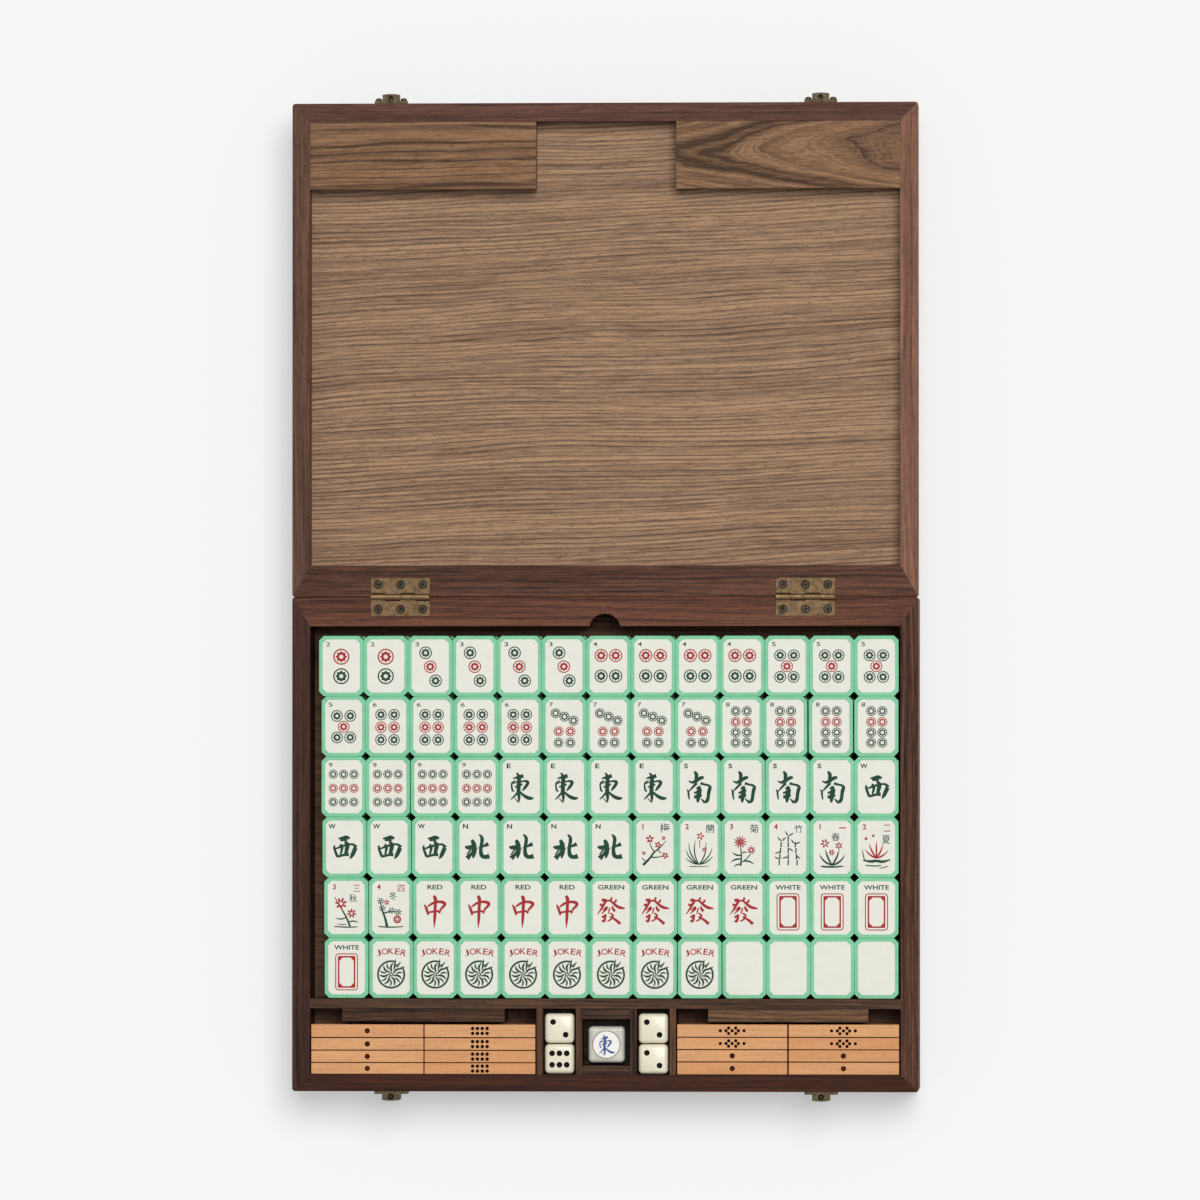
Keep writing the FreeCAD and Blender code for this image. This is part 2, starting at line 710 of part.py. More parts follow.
def latch_screws():
    flat = countersunk("latch_screw", "latch_screw_head", "latch_screw_shank", "latch_screw_length - latch_screw_sink")
    round_head = domed(
        "keeper_screw",
        "keeper_screw_head",
        "keeper_screw_crown",
        "keeper_screw_dome",
        "latch_screw_shank",
        "latch_screw_length",
    )
    doc.recompute()
    to_front = Rotation(Vector(1, 0, 0), 90)
    to_back = Rotation(Vector(1, 0, 0), -90)
    sunk = Vector(0, length("latch_screw_sink"), 0)
    spots = {owner: [Vector(*map(length, spot)) for spot in latch_screw_spots(owner)] for owner in ("base", "lid")}
    copies("latch_housing_screws", flat, [Placement(spot + sunk, to_front) for spot in spots["base"]])
    copies("latch_keeper_screws", round_head, [Placement(spot, to_back) for spot in spots["lid"]])


# The tiles


def octagon(half_x, half_y, corner):
    """A rectangle about the origin with its corners cut off."""
    near_x, near_y = f"({half_x} - {corner})", f"({half_y} - {corner})"
    return [
        (f"-{near_x}", f"-({half_y})"),
        (near_x, f"-({half_y})"),
        (f"({half_x})", f"-{near_y}"),
        (f"({half_x})", near_y),
        (near_x, f"({half_y})"),
        (f"-{near_x}", f"({half_y})"),
        (f"-({half_x})", near_y),
        (f"-({half_x})", f"-{near_y}"),
    ]


def tile_masters():
    """One tile about the origin: the coloured back, and the pale face let into it."""
    block = prism("tile_block", octagon("tile_width / 2", "tile_length / 2", "tile_corner"), "0", "tile_thickness")
    inset = octagon("tile_width / 2 - face_inset", "tile_length / 2 - face_inset", "face_corner")
    plate = prism("tile_face", inset, "tile_thickness - face_depth", "tile_thickness")
    back = cut("tile_back", block, plate)
    doc.recompute()
    return back, plate


def tile_turn(row, column):
    """A small turn, in degrees, as tiles put down by hand have."""
    return length("tile_turn") * math.sin(2.4 * row + 1.7 * column)


def tile_row(row, gap, floor, turned):
    """Where the tiles of one row lie: pushed to the right, evenly spaced."""
    wide, long = length("tile_width"), length("tile_length")
    step = wide + gap
    last = length(f"{INNER_X} - tile_right_gap") - wide / 2
    y = -length(f"{WELL_BACK} + tile_back_gap") - long / 2 - row * (long + length("tile_row_gap"))
    return [
        Placement(
            Vector(last - (COLUMNS - 1 - column) * step, y, floor),
            Rotation(Vector(0, 0, 1), tile_turn(row, column) if turned else 0),
        )
        for column in range(COLUMNS)
    ]


def tiles():
    back, face = tile_masters()
    lower_z = length("floor_thickness")
    upper_z = lower_z + length("tile_thickness")
    for row in range(ROWS):
        places = tile_row(row, length(f"row_gap_{row + 1}"), upper_z, True)
        copies(f"upper_tile_backs_row_{row + 1}", back, places)
        copies(f"upper_tile_faces_row_{row + 1}", face, places)
    lower = [place for row in range(ROWS) for place in tile_row(row, length("lower_gap"), lower_z, False)]
    copies("lower_tile_backs", back, lower)
    copies("lower_tile_faces", face, lower)


# The sticks and the dice


def sticks():
    for side, (low, high) in bays().items():
        long = f"(({high}) - ({low}) - 2 * stick_end_gap - stick_mid_gap) / {STICK_COLUMNS}"
        tall = f"({INTERIOR} - stick_headroom) / {STICK_LAYERS}"
        stick = box(f"{side}_stick", ("0", long), ("0", "stick_width"), ("0", tall))
        doc.recompute()
        x = length(f"{low} + stick_end_gap")
        y = length(f"stick_front_gap - {ROW_FRONT}")
        places = [
            Placement(
                Vector(
                    x + column * length(f"{long} + stick_mid_gap"),
                    y + row * length("stick_width + stick_side_gap"),
                    length("floor_thickness") + layer * length(tall),
                ),
                Rotation(),
            )
            for layer in range(STICK_LAYERS)
            for column in range(STICK_COLUMNS)
            for row in range(STICK_ROWS)
        ]
        copies(f"{side}_sticks", stick, places)


def dice():
    half = "die_size / 2"
    cube = box("die_cube", (f"-{half}", half), (f"-{half}", half), ("0", "die_size"))
    die = rounded("die", cube, "die_round", lambda e: True)
    doc.recompute()
    centres = {
        "left": f"accessory_shift - {OUTER_WALL} + {DICE_WELL} / 2",
        "right": f"accessory_shift + {OUTER_WALL} - {DICE_WELL} / 2",
    }
    for side, x in centres.items():
        places = [
            Placement(
                Vector(
                    length(x),
                    length(f"die_front_gap + {half} + {i} * (die_size + die_gap) - {ROW_FRONT}"),
                    length(DICE_FLOOR),
                ),
                Rotation(),
            )
            for i in range(2)
        ]
        copies(f"{side}_dice", die, places)


def wind_die():
    """The wind die: a rounded cube with a disc let into four of its faces."""
    half = "wind_die_size / 2"
    x = "accessory_shift"
    y = f"(wind_front_block + wind_die_front_gap + {half} - {ROW_FRONT})"
    z = f"({WIND_FLOOR} + {half})"
    bounds = [(f"{c} - {half}", f"{c} + {half}") for c in (x, y, z)]
    cube = rounded("wind_cube_soft", box("wind_cube", *bounds), "wind_die_round", lambda e: True)
    starts = {
        "top": ((x, y, f"{z} + {half} - disc_thickness"), "z"),
        "right": ((f"{x} + {half} - disc_thickness", y, z), "x"),
        "bottom": ((x, y, f"{z} - {half}"), "z"),
        "left": ((f"{x} - {half}", y, z), "x"),
    }
    discs = [cylinder(f"disc_{side}", "disc_radius", "disc_thickness", at, axis) for side, (at, axis) in starts.items()]
    seats = [
        cylinder(f"disc_seat_{side}", "disc_radius + disc_fit", "disc_thickness", at, axis)
        for side, (at, axis) in starts.items()
    ]
    node(cut("wind_cube_cut", cube, *seats), "wind_die")
    inlays = doc.addObject("Part::Compound", "wind_discs")
    inlays.Links = discs
    node(inlays, "wind_die_discs")


def check():
    """Stops the build if any object failed or any sub-part has no sound shape."""
    doc.recompute()
    failed = [o.Name for o in doc.Objects if {"Invalid", "Error"} & set(o.State)]
    empty = [o.Label for o in nodes if o.Shape.isNull() or not o.Shape.isValid() or not o.Shape.Solids]
    if failed or empty:
        raise SystemExit(f"failed: {failed}; without a sound shape: {empty}")


def export():
    os.makedirs("parts", exist_ok=True)
    for made in nodes:
        made.Shape.exportStep(os.path.join("parts", f"{made.Label}.step"))


fill_sheet()
base_rails()
lid_rails()
panels()
lid_blocks()
accessory_walls()
well_blocks()
hinges()
hinge_screws()
latches()
latch_screws()
tiles()
sticks()
dice()
wind_die()
check()
export()
print(len(nodes), "nodes")
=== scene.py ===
"""The finish of a walnut mahjong case, open flat, with its tiles, scoring sticks and dice.

Sizes below are in millimetres, and each piece is brought to metres when it is made.
"""

import math

import bmesh
import bpy
from mathutils import Matrix, Vector


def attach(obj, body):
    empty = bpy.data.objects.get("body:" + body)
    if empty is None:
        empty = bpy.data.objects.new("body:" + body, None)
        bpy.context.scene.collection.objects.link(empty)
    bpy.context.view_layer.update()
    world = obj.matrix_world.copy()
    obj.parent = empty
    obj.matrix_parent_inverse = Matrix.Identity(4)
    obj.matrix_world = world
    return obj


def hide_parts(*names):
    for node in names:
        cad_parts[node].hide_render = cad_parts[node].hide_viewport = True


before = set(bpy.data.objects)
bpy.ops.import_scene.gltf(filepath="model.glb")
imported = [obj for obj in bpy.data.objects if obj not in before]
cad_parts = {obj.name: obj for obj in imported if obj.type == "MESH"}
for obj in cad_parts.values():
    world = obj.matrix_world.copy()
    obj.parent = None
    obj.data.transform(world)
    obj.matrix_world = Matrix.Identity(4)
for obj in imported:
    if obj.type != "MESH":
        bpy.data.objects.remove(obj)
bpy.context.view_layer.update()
scene = bpy.context.scene
scene.view_settings.view_transform = "Standard"
MM = 0.001

# The camera and the light

EYE = Vector((0.2663, -0.0738, 5.0))
AIM = Vector((-0.0024, -0.0016, 0.0365))
SENSOR = 36.0
FOCAL = 295.35
SUN_FROM = Vector((0.2, 0.34, 1.0))
SUN_SPREAD = math.radians(35)
SUN_LEVEL = 2.4
SKY_LEVEL = 0.3
BACKDROP_LEVEL = 0.92
FLOOR_SIZE = 8.0
FLOOR_TONE = (247, 247, 247)
FLOOR_GLOW, FLOOR_GLOW_LEVEL = 0.45, 0.99


def linked(name, data):
    """A new object for some data, in the scene."""
    made = bpy.data.objects.new(name, data)
    scene.collection.objects.link(made)
    return made


def facing(back, up_hint):
    """A turn that points an object's own -Z away from back, with up_hint upwards."""
    back = back.normalized()
    side = up_hint.cross(back).normalized()
    return Matrix((side, back.cross(side), back)).transposed().to_4x4()


def overhead_camera():
    lens = bpy.data.cameras.new("overhead_camera")
    lens.sensor_width = SENSOR
    lens.lens = FOCAL
    camera = linked("overhead_camera", lens)
    camera.matrix_world = Matrix.Translation(EYE) @ facing(EYE - AIM, Vector((0, 1, 0)))
    scene.camera = camera


def seen_directly(nodes, links):
    """1 where the camera, a gloss or glass sees a surface, and 0 where it only lights others."""
    path = nodes.new("ShaderNodeLightPath")
    seen = path.outputs["Is Camera Ray"]
    for ray in ("Is Glossy Ray", "Is Transmission Ray"):
        either = nodes.new("ShaderNodeMath")
        either.operation = "MAXIMUM"
        links.new(seen, either.inputs[0])
        links.new(path.outputs[ray], either.inputs[1])
        seen = either.outputs[0]
    return seen


def soft_light():
    lamp = bpy.data.lights.new("window_light", "SUN")
    lamp.energy = SUN_LEVEL
    lamp.angle = SUN_SPREAD
    linked("window_light", lamp).matrix_world = facing(SUN_FROM, Vector((0, 1, 0)))
    world = bpy.data.worlds.new("studio")
    world.use_nodes = True
    scene.world = world
    nodes, links = world.node_tree.nodes, world.node_tree.links
    background = nodes["Background"]
    background.inputs["Color"].default_value = (1, 1, 1, 1)
    level = nodes.new("ShaderNodeMapRange")
    links.new(seen_directly(nodes, links), level.inputs["Value"])
    level.inputs["To Min"].default_value = SKY_LEVEL
    level.inputs["To Max"].default_value = BACKDROP_LEVEL
    links.new(level.outputs[0], background.inputs["Strength"])


# Finishes


def tint(red, green, blue):
    """A screen colour, 0 to 255, as the linear colour that a shader takes."""
    parts = (part / 255 for part in (red, green, blue))
    linear = (p / 12.92 if p <= 0.04045 else ((p + 0.055) / 1.055) ** 2.4 for p in parts)
    return (*linear, 1.0)


def scaled(colour, by):
    return (*(min(1.0, part * by) for part in colour[:3]), 1.0)


def dyed(colour, shares):
    """A colour with its red, green and blue each brought to a share."""
    return (*(part * share for part, share in zip(colour, shares)), 1.0)


class Finish:
    """One material being put together, node by node."""

    def __init__(self, name, **constants):
        self.material = bpy.data.materials.new(name)
        self.material.use_nodes = True
        self.nodes = self.material.node_tree.nodes
        self.links = self.material.node_tree.links
        self.shader = self.nodes["Principled BSDF"]
        self.place = self.nodes.new("ShaderNodeTexCoord").outputs["Object"]
        for name, value in constants.items():
            self.shader.inputs[name.replace("_", " ")].default_value = value

    def join(self, value, socket):
        if isinstance(value, bpy.types.NodeSocket):
            self.links.new(value, socket)
        else:
            socket.default_value = value

    def node(self, kind, inputs, output=0, **settings):
        made = self.nodes.new("ShaderNode" + kind)
        for name, value in settings.items():
            setattr(made, name, value)
        for key, value in inputs.items():
            self.join(value, made.inputs[key])
        return made.outputs[output]

    def maths(self, operation, first, second):
        return self.node("Math", {0: first, 1: second}, operation=operation)

    def vectors(self, operation, first, second):
        other = "Scale" if operation == "SCALE" else 1
        return self.node("VectorMath", {0: first, other: second}, operation=operation)

    def mapped(self, vector, scale=(1, 1, 1), shift=(0, 0, 0), turn=0.0):
        inputs = {"Vector": vector, "Scale": scale, "Location": shift, "Rotation": (0, 0, turn)}
        return self.node("Mapping", inputs)

    def noise(self, vector, scale=1.0, detail=2.0, roughness=0.5, output=0):
        """scale is one number, or one for each axis."""
        if isinstance(scale, tuple):
            vector, scale = self.mapped(vector, scale=scale), 1.0
        inputs = {"Vector": vector, "Scale": scale, "Detail": detail, "Roughness": roughness}
        return self.node("TexNoise", inputs, output=output)

    def ramp(self, value, *stops):
        """stops are (place, colour) or (place, number)."""
        made = self.nodes.new("ShaderNodeValToRGB")
        self.join(value, made.inputs[0])
        elements = made.color_ramp.elements
        while len(elements) > 1:
            elements.remove(elements[-1])
        for i, (at, colour) in enumerate(stops):
            element = elements[0] if i == 0 else elements.new(at)
            element.position = at
            element.color = colour if isinstance(colour, tuple) else (colour, colour, colour, 1)
        return made.outputs["Color"]

    def shades(self, value, colour, *stops):
        """stops are (place, how bright the colour is there)."""
        return self.ramp(value, *((at, scaled(colour, by)) for at, by in stops))

    def mix(self, amount, first, second, how="MIX"):
        # a Mix node's sockets for two colours are 6 and 7
        inputs = {0: amount, 6: first, 7: second}
        return self.node("Mix", inputs, output=2, data_type="RGBA", blend_type=how)

    def plus(self, first, second, times):
        """first with times as much of second added."""
        return self.maths("ADD", first, self.maths("MULTIPLY", second, times))

    def paint(self, colour):
        self.join(colour, self.shader.inputs["Base Color"])

    def finished(self, colour, roughness, height, depth, strength):
        """The material, with its colour, its roughness and a relief whose depth is in metres."""
        self.paint(colour)
        self.join(roughness, self.shader.inputs["Roughness"])
        bump = self.node("Bump", {"Height": height, "Distance": depth, "Strength": strength})
        self.join(bump, self.shader.inputs["Normal"])
        return self.material


# depths of the fine relief in the finishes, in metres
PORE_DEPTH, LINE_DEPTH, SCUFF_DEPTH, MOTTLE_DEPTH = 0.00006, 0.00004, 0.00003, 0.000005
# how a flame bows and how ragged it is, in metres
FLAME_BOW, FLAME_RAG = 0.0075, 0.006
# how much of the figure the fine lines, the bands and the fibre make, and how far pores darken it
LINES_SHARE, BANDS_SHARE, FIBRE_SHARE, PORES_SHARE = 0.45, 0.3, 0.35, 0.45
# how far the growth rings lean with depth, and their dark and pale parts over one year
RING_LEAN = 0.36
RING_YEAR = ((0.0, 0.3), (0.1, 0.0), (0.6, 0.08), (0.92, 1.0), (1.0, 0.3))
RING_MIDDLE = 0.35
# how fine the patterns in walnut are, per metre: along the grain and twice across it
STRAY_SCALE, RAGGED_SCALE = (5, 16, 16), (22, 90, 90)
FIBRE_SCALE, PORE_SCALE = (75, 1050, 1050), (240, 1500, 1500)
LINES_ALONG, BANDS_ALONG, RINGS_ALONG = 5, 2, 3
# how many fine lines lie across a band and across a swing of the rings, and the gain on straying
BAND_LINES, SWING_LINES, STRAY_GAIN = 8, 7, 4
# how a piece's seed moves the pattern along x, y and z
SEED_STEPS = (1, 0.7, 1.3)
# walnut's tones: where each lies from the figure's middle, what contrast adds to it, and its dye
WALNUT_TONES = (
    (-0.14, -1.7, (1, 0.95, 0.9)),
    (-0.05, -0.6, (1, 1, 1)),
    (0.03, 0.2, (1, 1, 1)),
    (0.12, 1.5, (1, 1.04, 1.03)),
)
DARKEST = 0.12


def timber(
    name, tone, along="x", seed=0.0, pitch=1.8, contrast=0.3, wave=2.0, tilt=0.0, bands=1.0,
    years=2.4, drift=8.0, rings=0.1, flame=None,
):
    """Oiled walnut along one axis: fine lines, growth rings, bands, fibre and pores.

    pitch is the distance between fine lines and years that between rings, in mm. wave is how far
    the lines stray, in mm, and drift how unevenly the rings follow each other. flame is the tip
    of a pointed figure that opens to the right, in metres, and its slope.
    """
    wood = Finish(name, Specular_IOR_Level=0.12)
    turn = (-math.pi / 2 if along == "y" else 0.0) - tilt
    grain = wood.mapped(wood.place, shift=tuple(seed * step for step in SEED_STEPS), turn=turn)
    stray = wood.noise(grain, STRAY_SCALE, detail=2, output=1)
    stray = wood.vectors("SUBTRACT", stray, (0.5, 0.5, 0.5))
    stray = wood.vectors("SCALE", stray, wave * STRAY_GAIN * MM)
    grain = wood.vectors("ADD", grain, stray)
    lines_place = grain
    if flame:
        tip_x, tip_y, slope = flame
        arrow = wood.mapped(wood.place, shift=(-tip_x, -tip_y, 0))
        arrow = wood.vectors("ADD", arrow, stray)
        beside = wood.node("SeparateXYZ", {0: arrow}, output=1)
        bow = wood.maths("DIVIDE", wood.maths("MULTIPLY", beside, beside), 2 * FLAME_BOW)
        across = wood.maths("SUBTRACT", bow, wood.maths("MULTIPLY", beside.node.outputs[0], slope))
        ragged = wood.noise(wood.place, RAGGED_SCALE, detail=3)
        ragged = wood.maths("MULTIPLY", wood.maths("SUBTRACT", ragged, 0.5), 2 * FLAME_RAG)
        across = wood.maths("ADD", across, ragged)
        along_grain = wood.node("SeparateXYZ", {0: grain})
        lines_place = wood.node("CombineXYZ", {0: along_grain, 1: across, 2: seed})
    fine = 1 / (pitch * MM)
    banded, swung = fine / BAND_LINES, fine / SWING_LINES
    lines = wood.noise(lines_place, (LINES_ALONG, fine, fine), detail=3, roughness=0.6)
    broad = wood.noise(lines_place, (BANDS_ALONG, banded, banded), detail=1.5)
    fibre = wood.noise(grain, FIBRE_SCALE, detail=3, roughness=0.6)
    across = wood.node("SeparateXYZ", {0: lines_place}, output=1)
    age = wood.plus(across, across.node.outputs[2], RING_LEAN)
    uneven = wood.noise(lines_place, (RINGS_ALONG, swung, swung), detail=2.5)
    age = wood.plus(wood.maths("DIVIDE", age, years * MM), uneven, drift)
    ring = wood.ramp(wood.maths("FRACT", age, 0.0), *RING_YEAR)
    figure = wood.maths("MULTIPLY", lines, LINES_SHARE)
    figure = wood.plus(figure, broad, BANDS_SHARE * bands)
    figure = wood.plus(figure, fibre, FIBRE_SHARE)
    figure = wood.maths("SUBTRACT", figure, wood.maths("MULTIPLY", ring, rings))
    middle = 0.5 * (LINES_SHARE + BANDS_SHARE * bands + FIBRE_SHARE) - RING_MIDDLE * rings
    mid = tint(*tone)
    tones = (
        (middle + at, scaled(dyed(mid, dye), max(DARKEST, 1 + by * contrast)))
        for at, by, dye in WALNUT_TONES
    )
    colour = wood.ramp(figure, *tones)
    dashes = wood.noise(grain, PORE_SCALE, detail=1)
    open_pore = wood.ramp(dashes, (0.6, 0.0), (0.68, 1.0))
    colour = wood.mix(wood.maths("MULTIPLY", open_pore, PORES_SHARE), colour, scaled(mid, 0.35))
    roughness = wood.ramp(lines, (0.35, 0.6), (0.65, 0.48))
    height = wood.maths("SUBTRACT", fibre, open_pore)
    return wood.finished(colour, roughness, height, PORE_DEPTH, 0.5)


# how fine the patterns in the other finishes are, per metre, and how they stretch
PATINA_SCALE, SPECK_SCALE, SCUFF_SCALE = 380, 1300, (900, 300, 900)
HAZE_SCALE, MARK_SCALE, MARK_STRETCH, MOTTLE_SCALE = 130, 900, (1, 1.8, 1), 1400
BEECH_LINES, BEECH_FLECKS, RUSSET_DYE = (25, 800, 800), (330, 1700, 1700), (0.86, 0.7, 0.6)
TOOTH_SCALE = 400


def aged_brass(name, tone, painted_light_levels=None):
    """Brass with a brown patina, and painted light and shade by height where levels are given.

    The levels give heights, in metres, and how bright the brass is painted at each, as painted
    shade and painted highlight.
    """
    brass = Finish(name, Metallic=0.85)
    clouds = brass.noise(brass.place, PATINA_SCALE, detail=4, roughness=0.65)
    specks = brass.noise(brass.place, SPECK_SCALE, detail=2)
    mid = tint(*tone)
    colour = brass.shades(clouds, mid, (0.33, 0.7), (0.5, 1.0), (0.68, 1.25))
    colour = brass.mix(brass.ramp(specks, (0.6, 0.0), (0.72, 0.4)), colour, scaled(mid, 0.45))
    # painted light by height: the colour is scaled by how bright each height is painted
    if painted_light_levels:
        low, high, most = painted_light_levels[0][0], painted_light_levels[-1][0], max(level for at, level in painted_light_levels)
        height = brass.node("SeparateXYZ", {0: brass.place}, output=2)
        rise = brass.node("MapRange", {"Value": height, "From Min": low, "From Max": high})
        stops = (((at - low) / (high - low), level / most) for at, level in painted_light_levels)
        shade = brass.ramp(rise, *stops)
        colour = brass.mix(1.0, colour, (most, most, most, 1.0), "MULTIPLY")
        colour = brass.mix(1.0, colour, shade, "MULTIPLY")
    roughness = brass.ramp(clouds, (0.35, 0.52), (0.65, 0.36))
    return brass.finished(colour, roughness, specks, SCUFF_DEPTH, 0.4)


def steel(name, tone, slot_floor, slot_brim):
    """Dulled steel, with painted shade in its cut slots: darker from the brim down to the floor,
    which are heights in metres.
    """
    metal = Finish(name, Metallic=0.8)
    scuffs = metal.noise(metal.place, SCUFF_SCALE, detail=3)
    mid = tint(*tone)
    colour = metal.shades(scuffs, mid, (0.35, 0.6), (0.65, 1.5))
    # painted shade that deepens down the slots
    height = metal.node("SeparateXYZ", {0: metal.place}, output=2)
    heights = {"Value": height, "From Min": slot_floor, "From Max": slot_brim}
    colour = metal.mix(metal.node("MapRange", heights), scaled(mid, 0.05), colour)
    roughness = metal.ramp(scuffs, (0.35, 0.5), (0.65, 0.3))
    return metal.finished(colour, roughness, scuffs, SCUFF_DEPTH, 0.4)


SCATTER_RADIUS, SCATTER_SCALE = (0.004, 0.003, 0.002), 0.3


def moulded(name, tone, cloud=0.04, rough=0.3, shine=0.5, scatter=0.0, grain=0.00001):
    """A polished moulded plastic, faintly clouded, with fine handling marks in its gloss."""
    plastic = Finish(
        name,
        Specular_IOR_Level=shine,
        Subsurface_Weight=scatter,
        Subsurface_Radius=SCATTER_RADIUS,
        Subsurface_Scale=SCATTER_SCALE,
    )
    clouds = plastic.noise(plastic.place, HAZE_SCALE, detail=3, roughness=0.55)
    marks = plastic.noise(plastic.mapped(plastic.place, scale=MARK_STRETCH), MARK_SCALE, detail=3)
    mid = tint(*tone)
    colour = plastic.shades(clouds, mid, (0.34, 1 - 1.6 * cloud), (0.5, 1.0), (0.66, 1 + cloud))
    roughness = plastic.ramp(marks, (0.35, rough - 0.06), (0.65, rough + 0.1))
    return plastic.finished(colour, roughness, marks, grain, 0.5)


PALE_MIDDLE = (232, 230, 218)


def ink(name, tone):
    """Enamel filled into the cut marks. Where a mark carries a fade it pales towards its middle."""
    enamel = Finish(name, Specular_IOR_Level=0.1)
    mottle = enamel.noise(enamel.place, MOTTLE_SCALE, detail=2)
    mid = tint(*tone)
    colour = enamel.shades(mottle, mid, (0.3, 0.88), (0.5, 1.0), (0.7, 1.12))
    fade = enamel.node("Attribute", {}, output=2, attribute_name="fade")
    colour = enamel.mix(enamel.ramp(fade, (0.52, 0.0), (0.7, 1.0)), colour, tint(*PALE_MIDDLE))
    roughness = enamel.ramp(mottle, (0.3, 0.35), (0.7, 0.55))
    return enamel.finished(colour, roughness, mottle, MOTTLE_DEPTH, 0.1)


def beech(name, tone):
    """Steamed beech: fine lines and russet flecks along the stick, and a shade for each stick."""
    wood = Finish(name, Specular_IOR_Level=0.2)
    lines = wood.noise(wood.place, BEECH_LINES, detail=3)
    flecks = wood.noise(wood.place, BEECH_FLECKS, detail=1)
    mid = tint(*tone)
    russet = dyed(mid, RUSSET_DYE)
    colour = wood.shades(lines, mid, (0.3, 0.88), (0.5, 1.0), (0.7, 1.08))
    shade = wood.node("Attribute", {}, output=2, attribute_name="shade")
    colour = wood.mix(wood.ramp(shade, (0.2, 0.0), (1.0, 0.42)), colour, russet)
    colour = wood.mix(wood.ramp(flecks, (0.58, 0.0), (0.68, 0.55)), colour, scaled(russet, 0.8))
    roughness = wood.ramp(lines, (0.3, 0.62), (0.7, 0.5))
    return wood.finished(colour, roughness, lines, LINE_DEPTH, 0.5)


# The timber pieces: tone, grain direction, seed, and what differs from the plain rail. A tone holds
# the piece's own walnut and also painted light and shade as it fell on that piece, such as on the
# lighter right rails
TIMBERS = {
    "lid_back_rail": dict(tone=(78, 49, 36), seed=0.1, contrast=0.5),
    "lid_front_rail": dict(tone=(87, 57, 46), seed=0.9, contrast=0.34),
    "lid_left_rail": dict(tone=(88, 59, 46), along="y", seed=1.7, contrast=0.34),
    "lid_right_rail": dict(tone=(121, 84, 67), along="y", seed=2.3, contrast=0.3),
    "base_back_rail": dict(tone=(88, 53, 38), seed=3.1, contrast=0.44),
    "base_front_rail": dict(tone=(53, 23, 10), seed=3.9, contrast=0.42),
    "base_left_rail": dict(tone=(57, 32, 23), along="y", seed=4.6, contrast=0.42),
    "base_right_rail": dict(tone=(73, 45, 32), along="y", seed=5.2, contrast=0.6),
    "lid_panel": dict(
        tone=(141, 111, 87), seed=6.0, pitch=1.2, wave=3.0, tilt=0.045, contrast=0.34, bands=0.8,
        years=2.2, drift=2.0, rings=0.17
    ),
    "lid_block_left": dict(
        tone=(117, 86, 62), seed=6.9, pitch=1.3, wave=4.5, contrast=0.38, bands=0.8,
        years=4.4, drift=2.6, rings=0.22
    ),
    "lid_block_right": dict(
        tone=(122, 91, 66), seed=7.7, pitch=1.5, wave=6.5, contrast=0.42, years=14.0, drift=2.0,
        rings=0.13, flame=(0.1167, 0.2262, 0.36)
    ),
    "tile_well_divider": dict(tone=(75, 51, 35), seed=8.4, contrast=0.5),
    "stick_spacer_left": dict(tone=(63, 39, 26), seed=9.0, contrast=0.65),
    "stick_spacer_right": dict(tone=(84, 58, 40), seed=9.4, contrast=0.75),
    **{
        f"dice_partition_{place}": dict(
            tone=(66, 43, 28), along="y", seed=10.0 + 0.5 * i, contrast=0.7
        )
        for i, place in enumerate(("left_outer", "left_inner", "right_inner", "right_outer"))
    },
    "wind_well_back_block": dict(tone=(62, 42, 31), seed=12.0, contrast=0.6),
    "wind_well_front_block": dict(tone=(62, 42, 31), seed=12.4, contrast=0.6),
    "wind_well_floor": dict(tone=(60, 44, 34), seed=12.9),
    "dice_well_floors": dict(tone=(60, 44, 34), seed=13.3),
    "base_floor_panel": dict(tone=(112, 82, 62), seed=13.9, pitch=2.4),
}


def both(*parts):
    """The names of some nodes on the left and on the right."""
    return [f"{side}_{part}" for side in ("left", "right") for part in parts]


HINGE_PARTS = both("hinge_base_leaf", "hinge_lid_leaf", "hinge_pin")
LATCH_PARTS = both("latch_housing", "latch_keeper", "latch_bolt")
SCREWS = ["base_hinge_screws", "lid_hinge_screws", "latch_housing_screws"]
# heights up the hinge in metres, from countersink to knuckle crown, and how bright each is painted:
# painted shade down in the countersinks round the screw heads, and a painted highlight along the
# knuckle crown
HINGE_PAINTED_LIGHT = ((0.036, 0.3), (0.0362, 0.45), (0.0363, 1.0), (0.0368, 1.0), (0.0376, 1.5))


def dress(names, material):
    for name in names:
        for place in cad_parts[name].material_slots:
            place.material = material


# Making pieces

# how near counts as touching, in mm, and how far up a normal points where a face is level
NEAR, LEVEL = 1e-4, 0.99
SHARP_ANGLE = math.radians(35)


def box_of(width, length, height, centre=(0, 0, 0)):
    made = bmesh.new()
    shape = Matrix.Translation(centre) @ Matrix.Diagonal((width, length, height, 1))
    bmesh.ops.create_cube(made, size=1, matrix=shape)
    return made


def ease(made, geom, amount, segments=1, affect="EDGES"):
    bmesh.ops.bevel(
        made, geom=geom, offset=amount, affect=affect, segments=segments, profile=0.5, material=-1
    )


def upright(made):
    return [e for e in made.edges if abs(e.verts[0].co.z - e.verts[1].co.z) > NEAR]


def at_height(made, z):
    return [e for e in made.edges if all(abs(v.co.z - z) < NEAR for v in e.verts)]


def raised(made, low, high):
    """Makes flat faces a thin closed plate between two heights."""
    bmesh.ops.remove_doubles(made, verts=made.verts, dist=NEAR)
    for vert in made.verts:
        vert.co.z = low
    top = bmesh.ops.extrude_face_region(made, geom=made.faces[:])
    verts = [item for item in top["geom"] if isinstance(item, bmesh.types.BMVert)]
    bmesh.ops.translate(made, vec=(0, 0, high - low), verts=verts)
    bmesh.ops.recalc_face_normals(made, faces=made.faces)
    return made


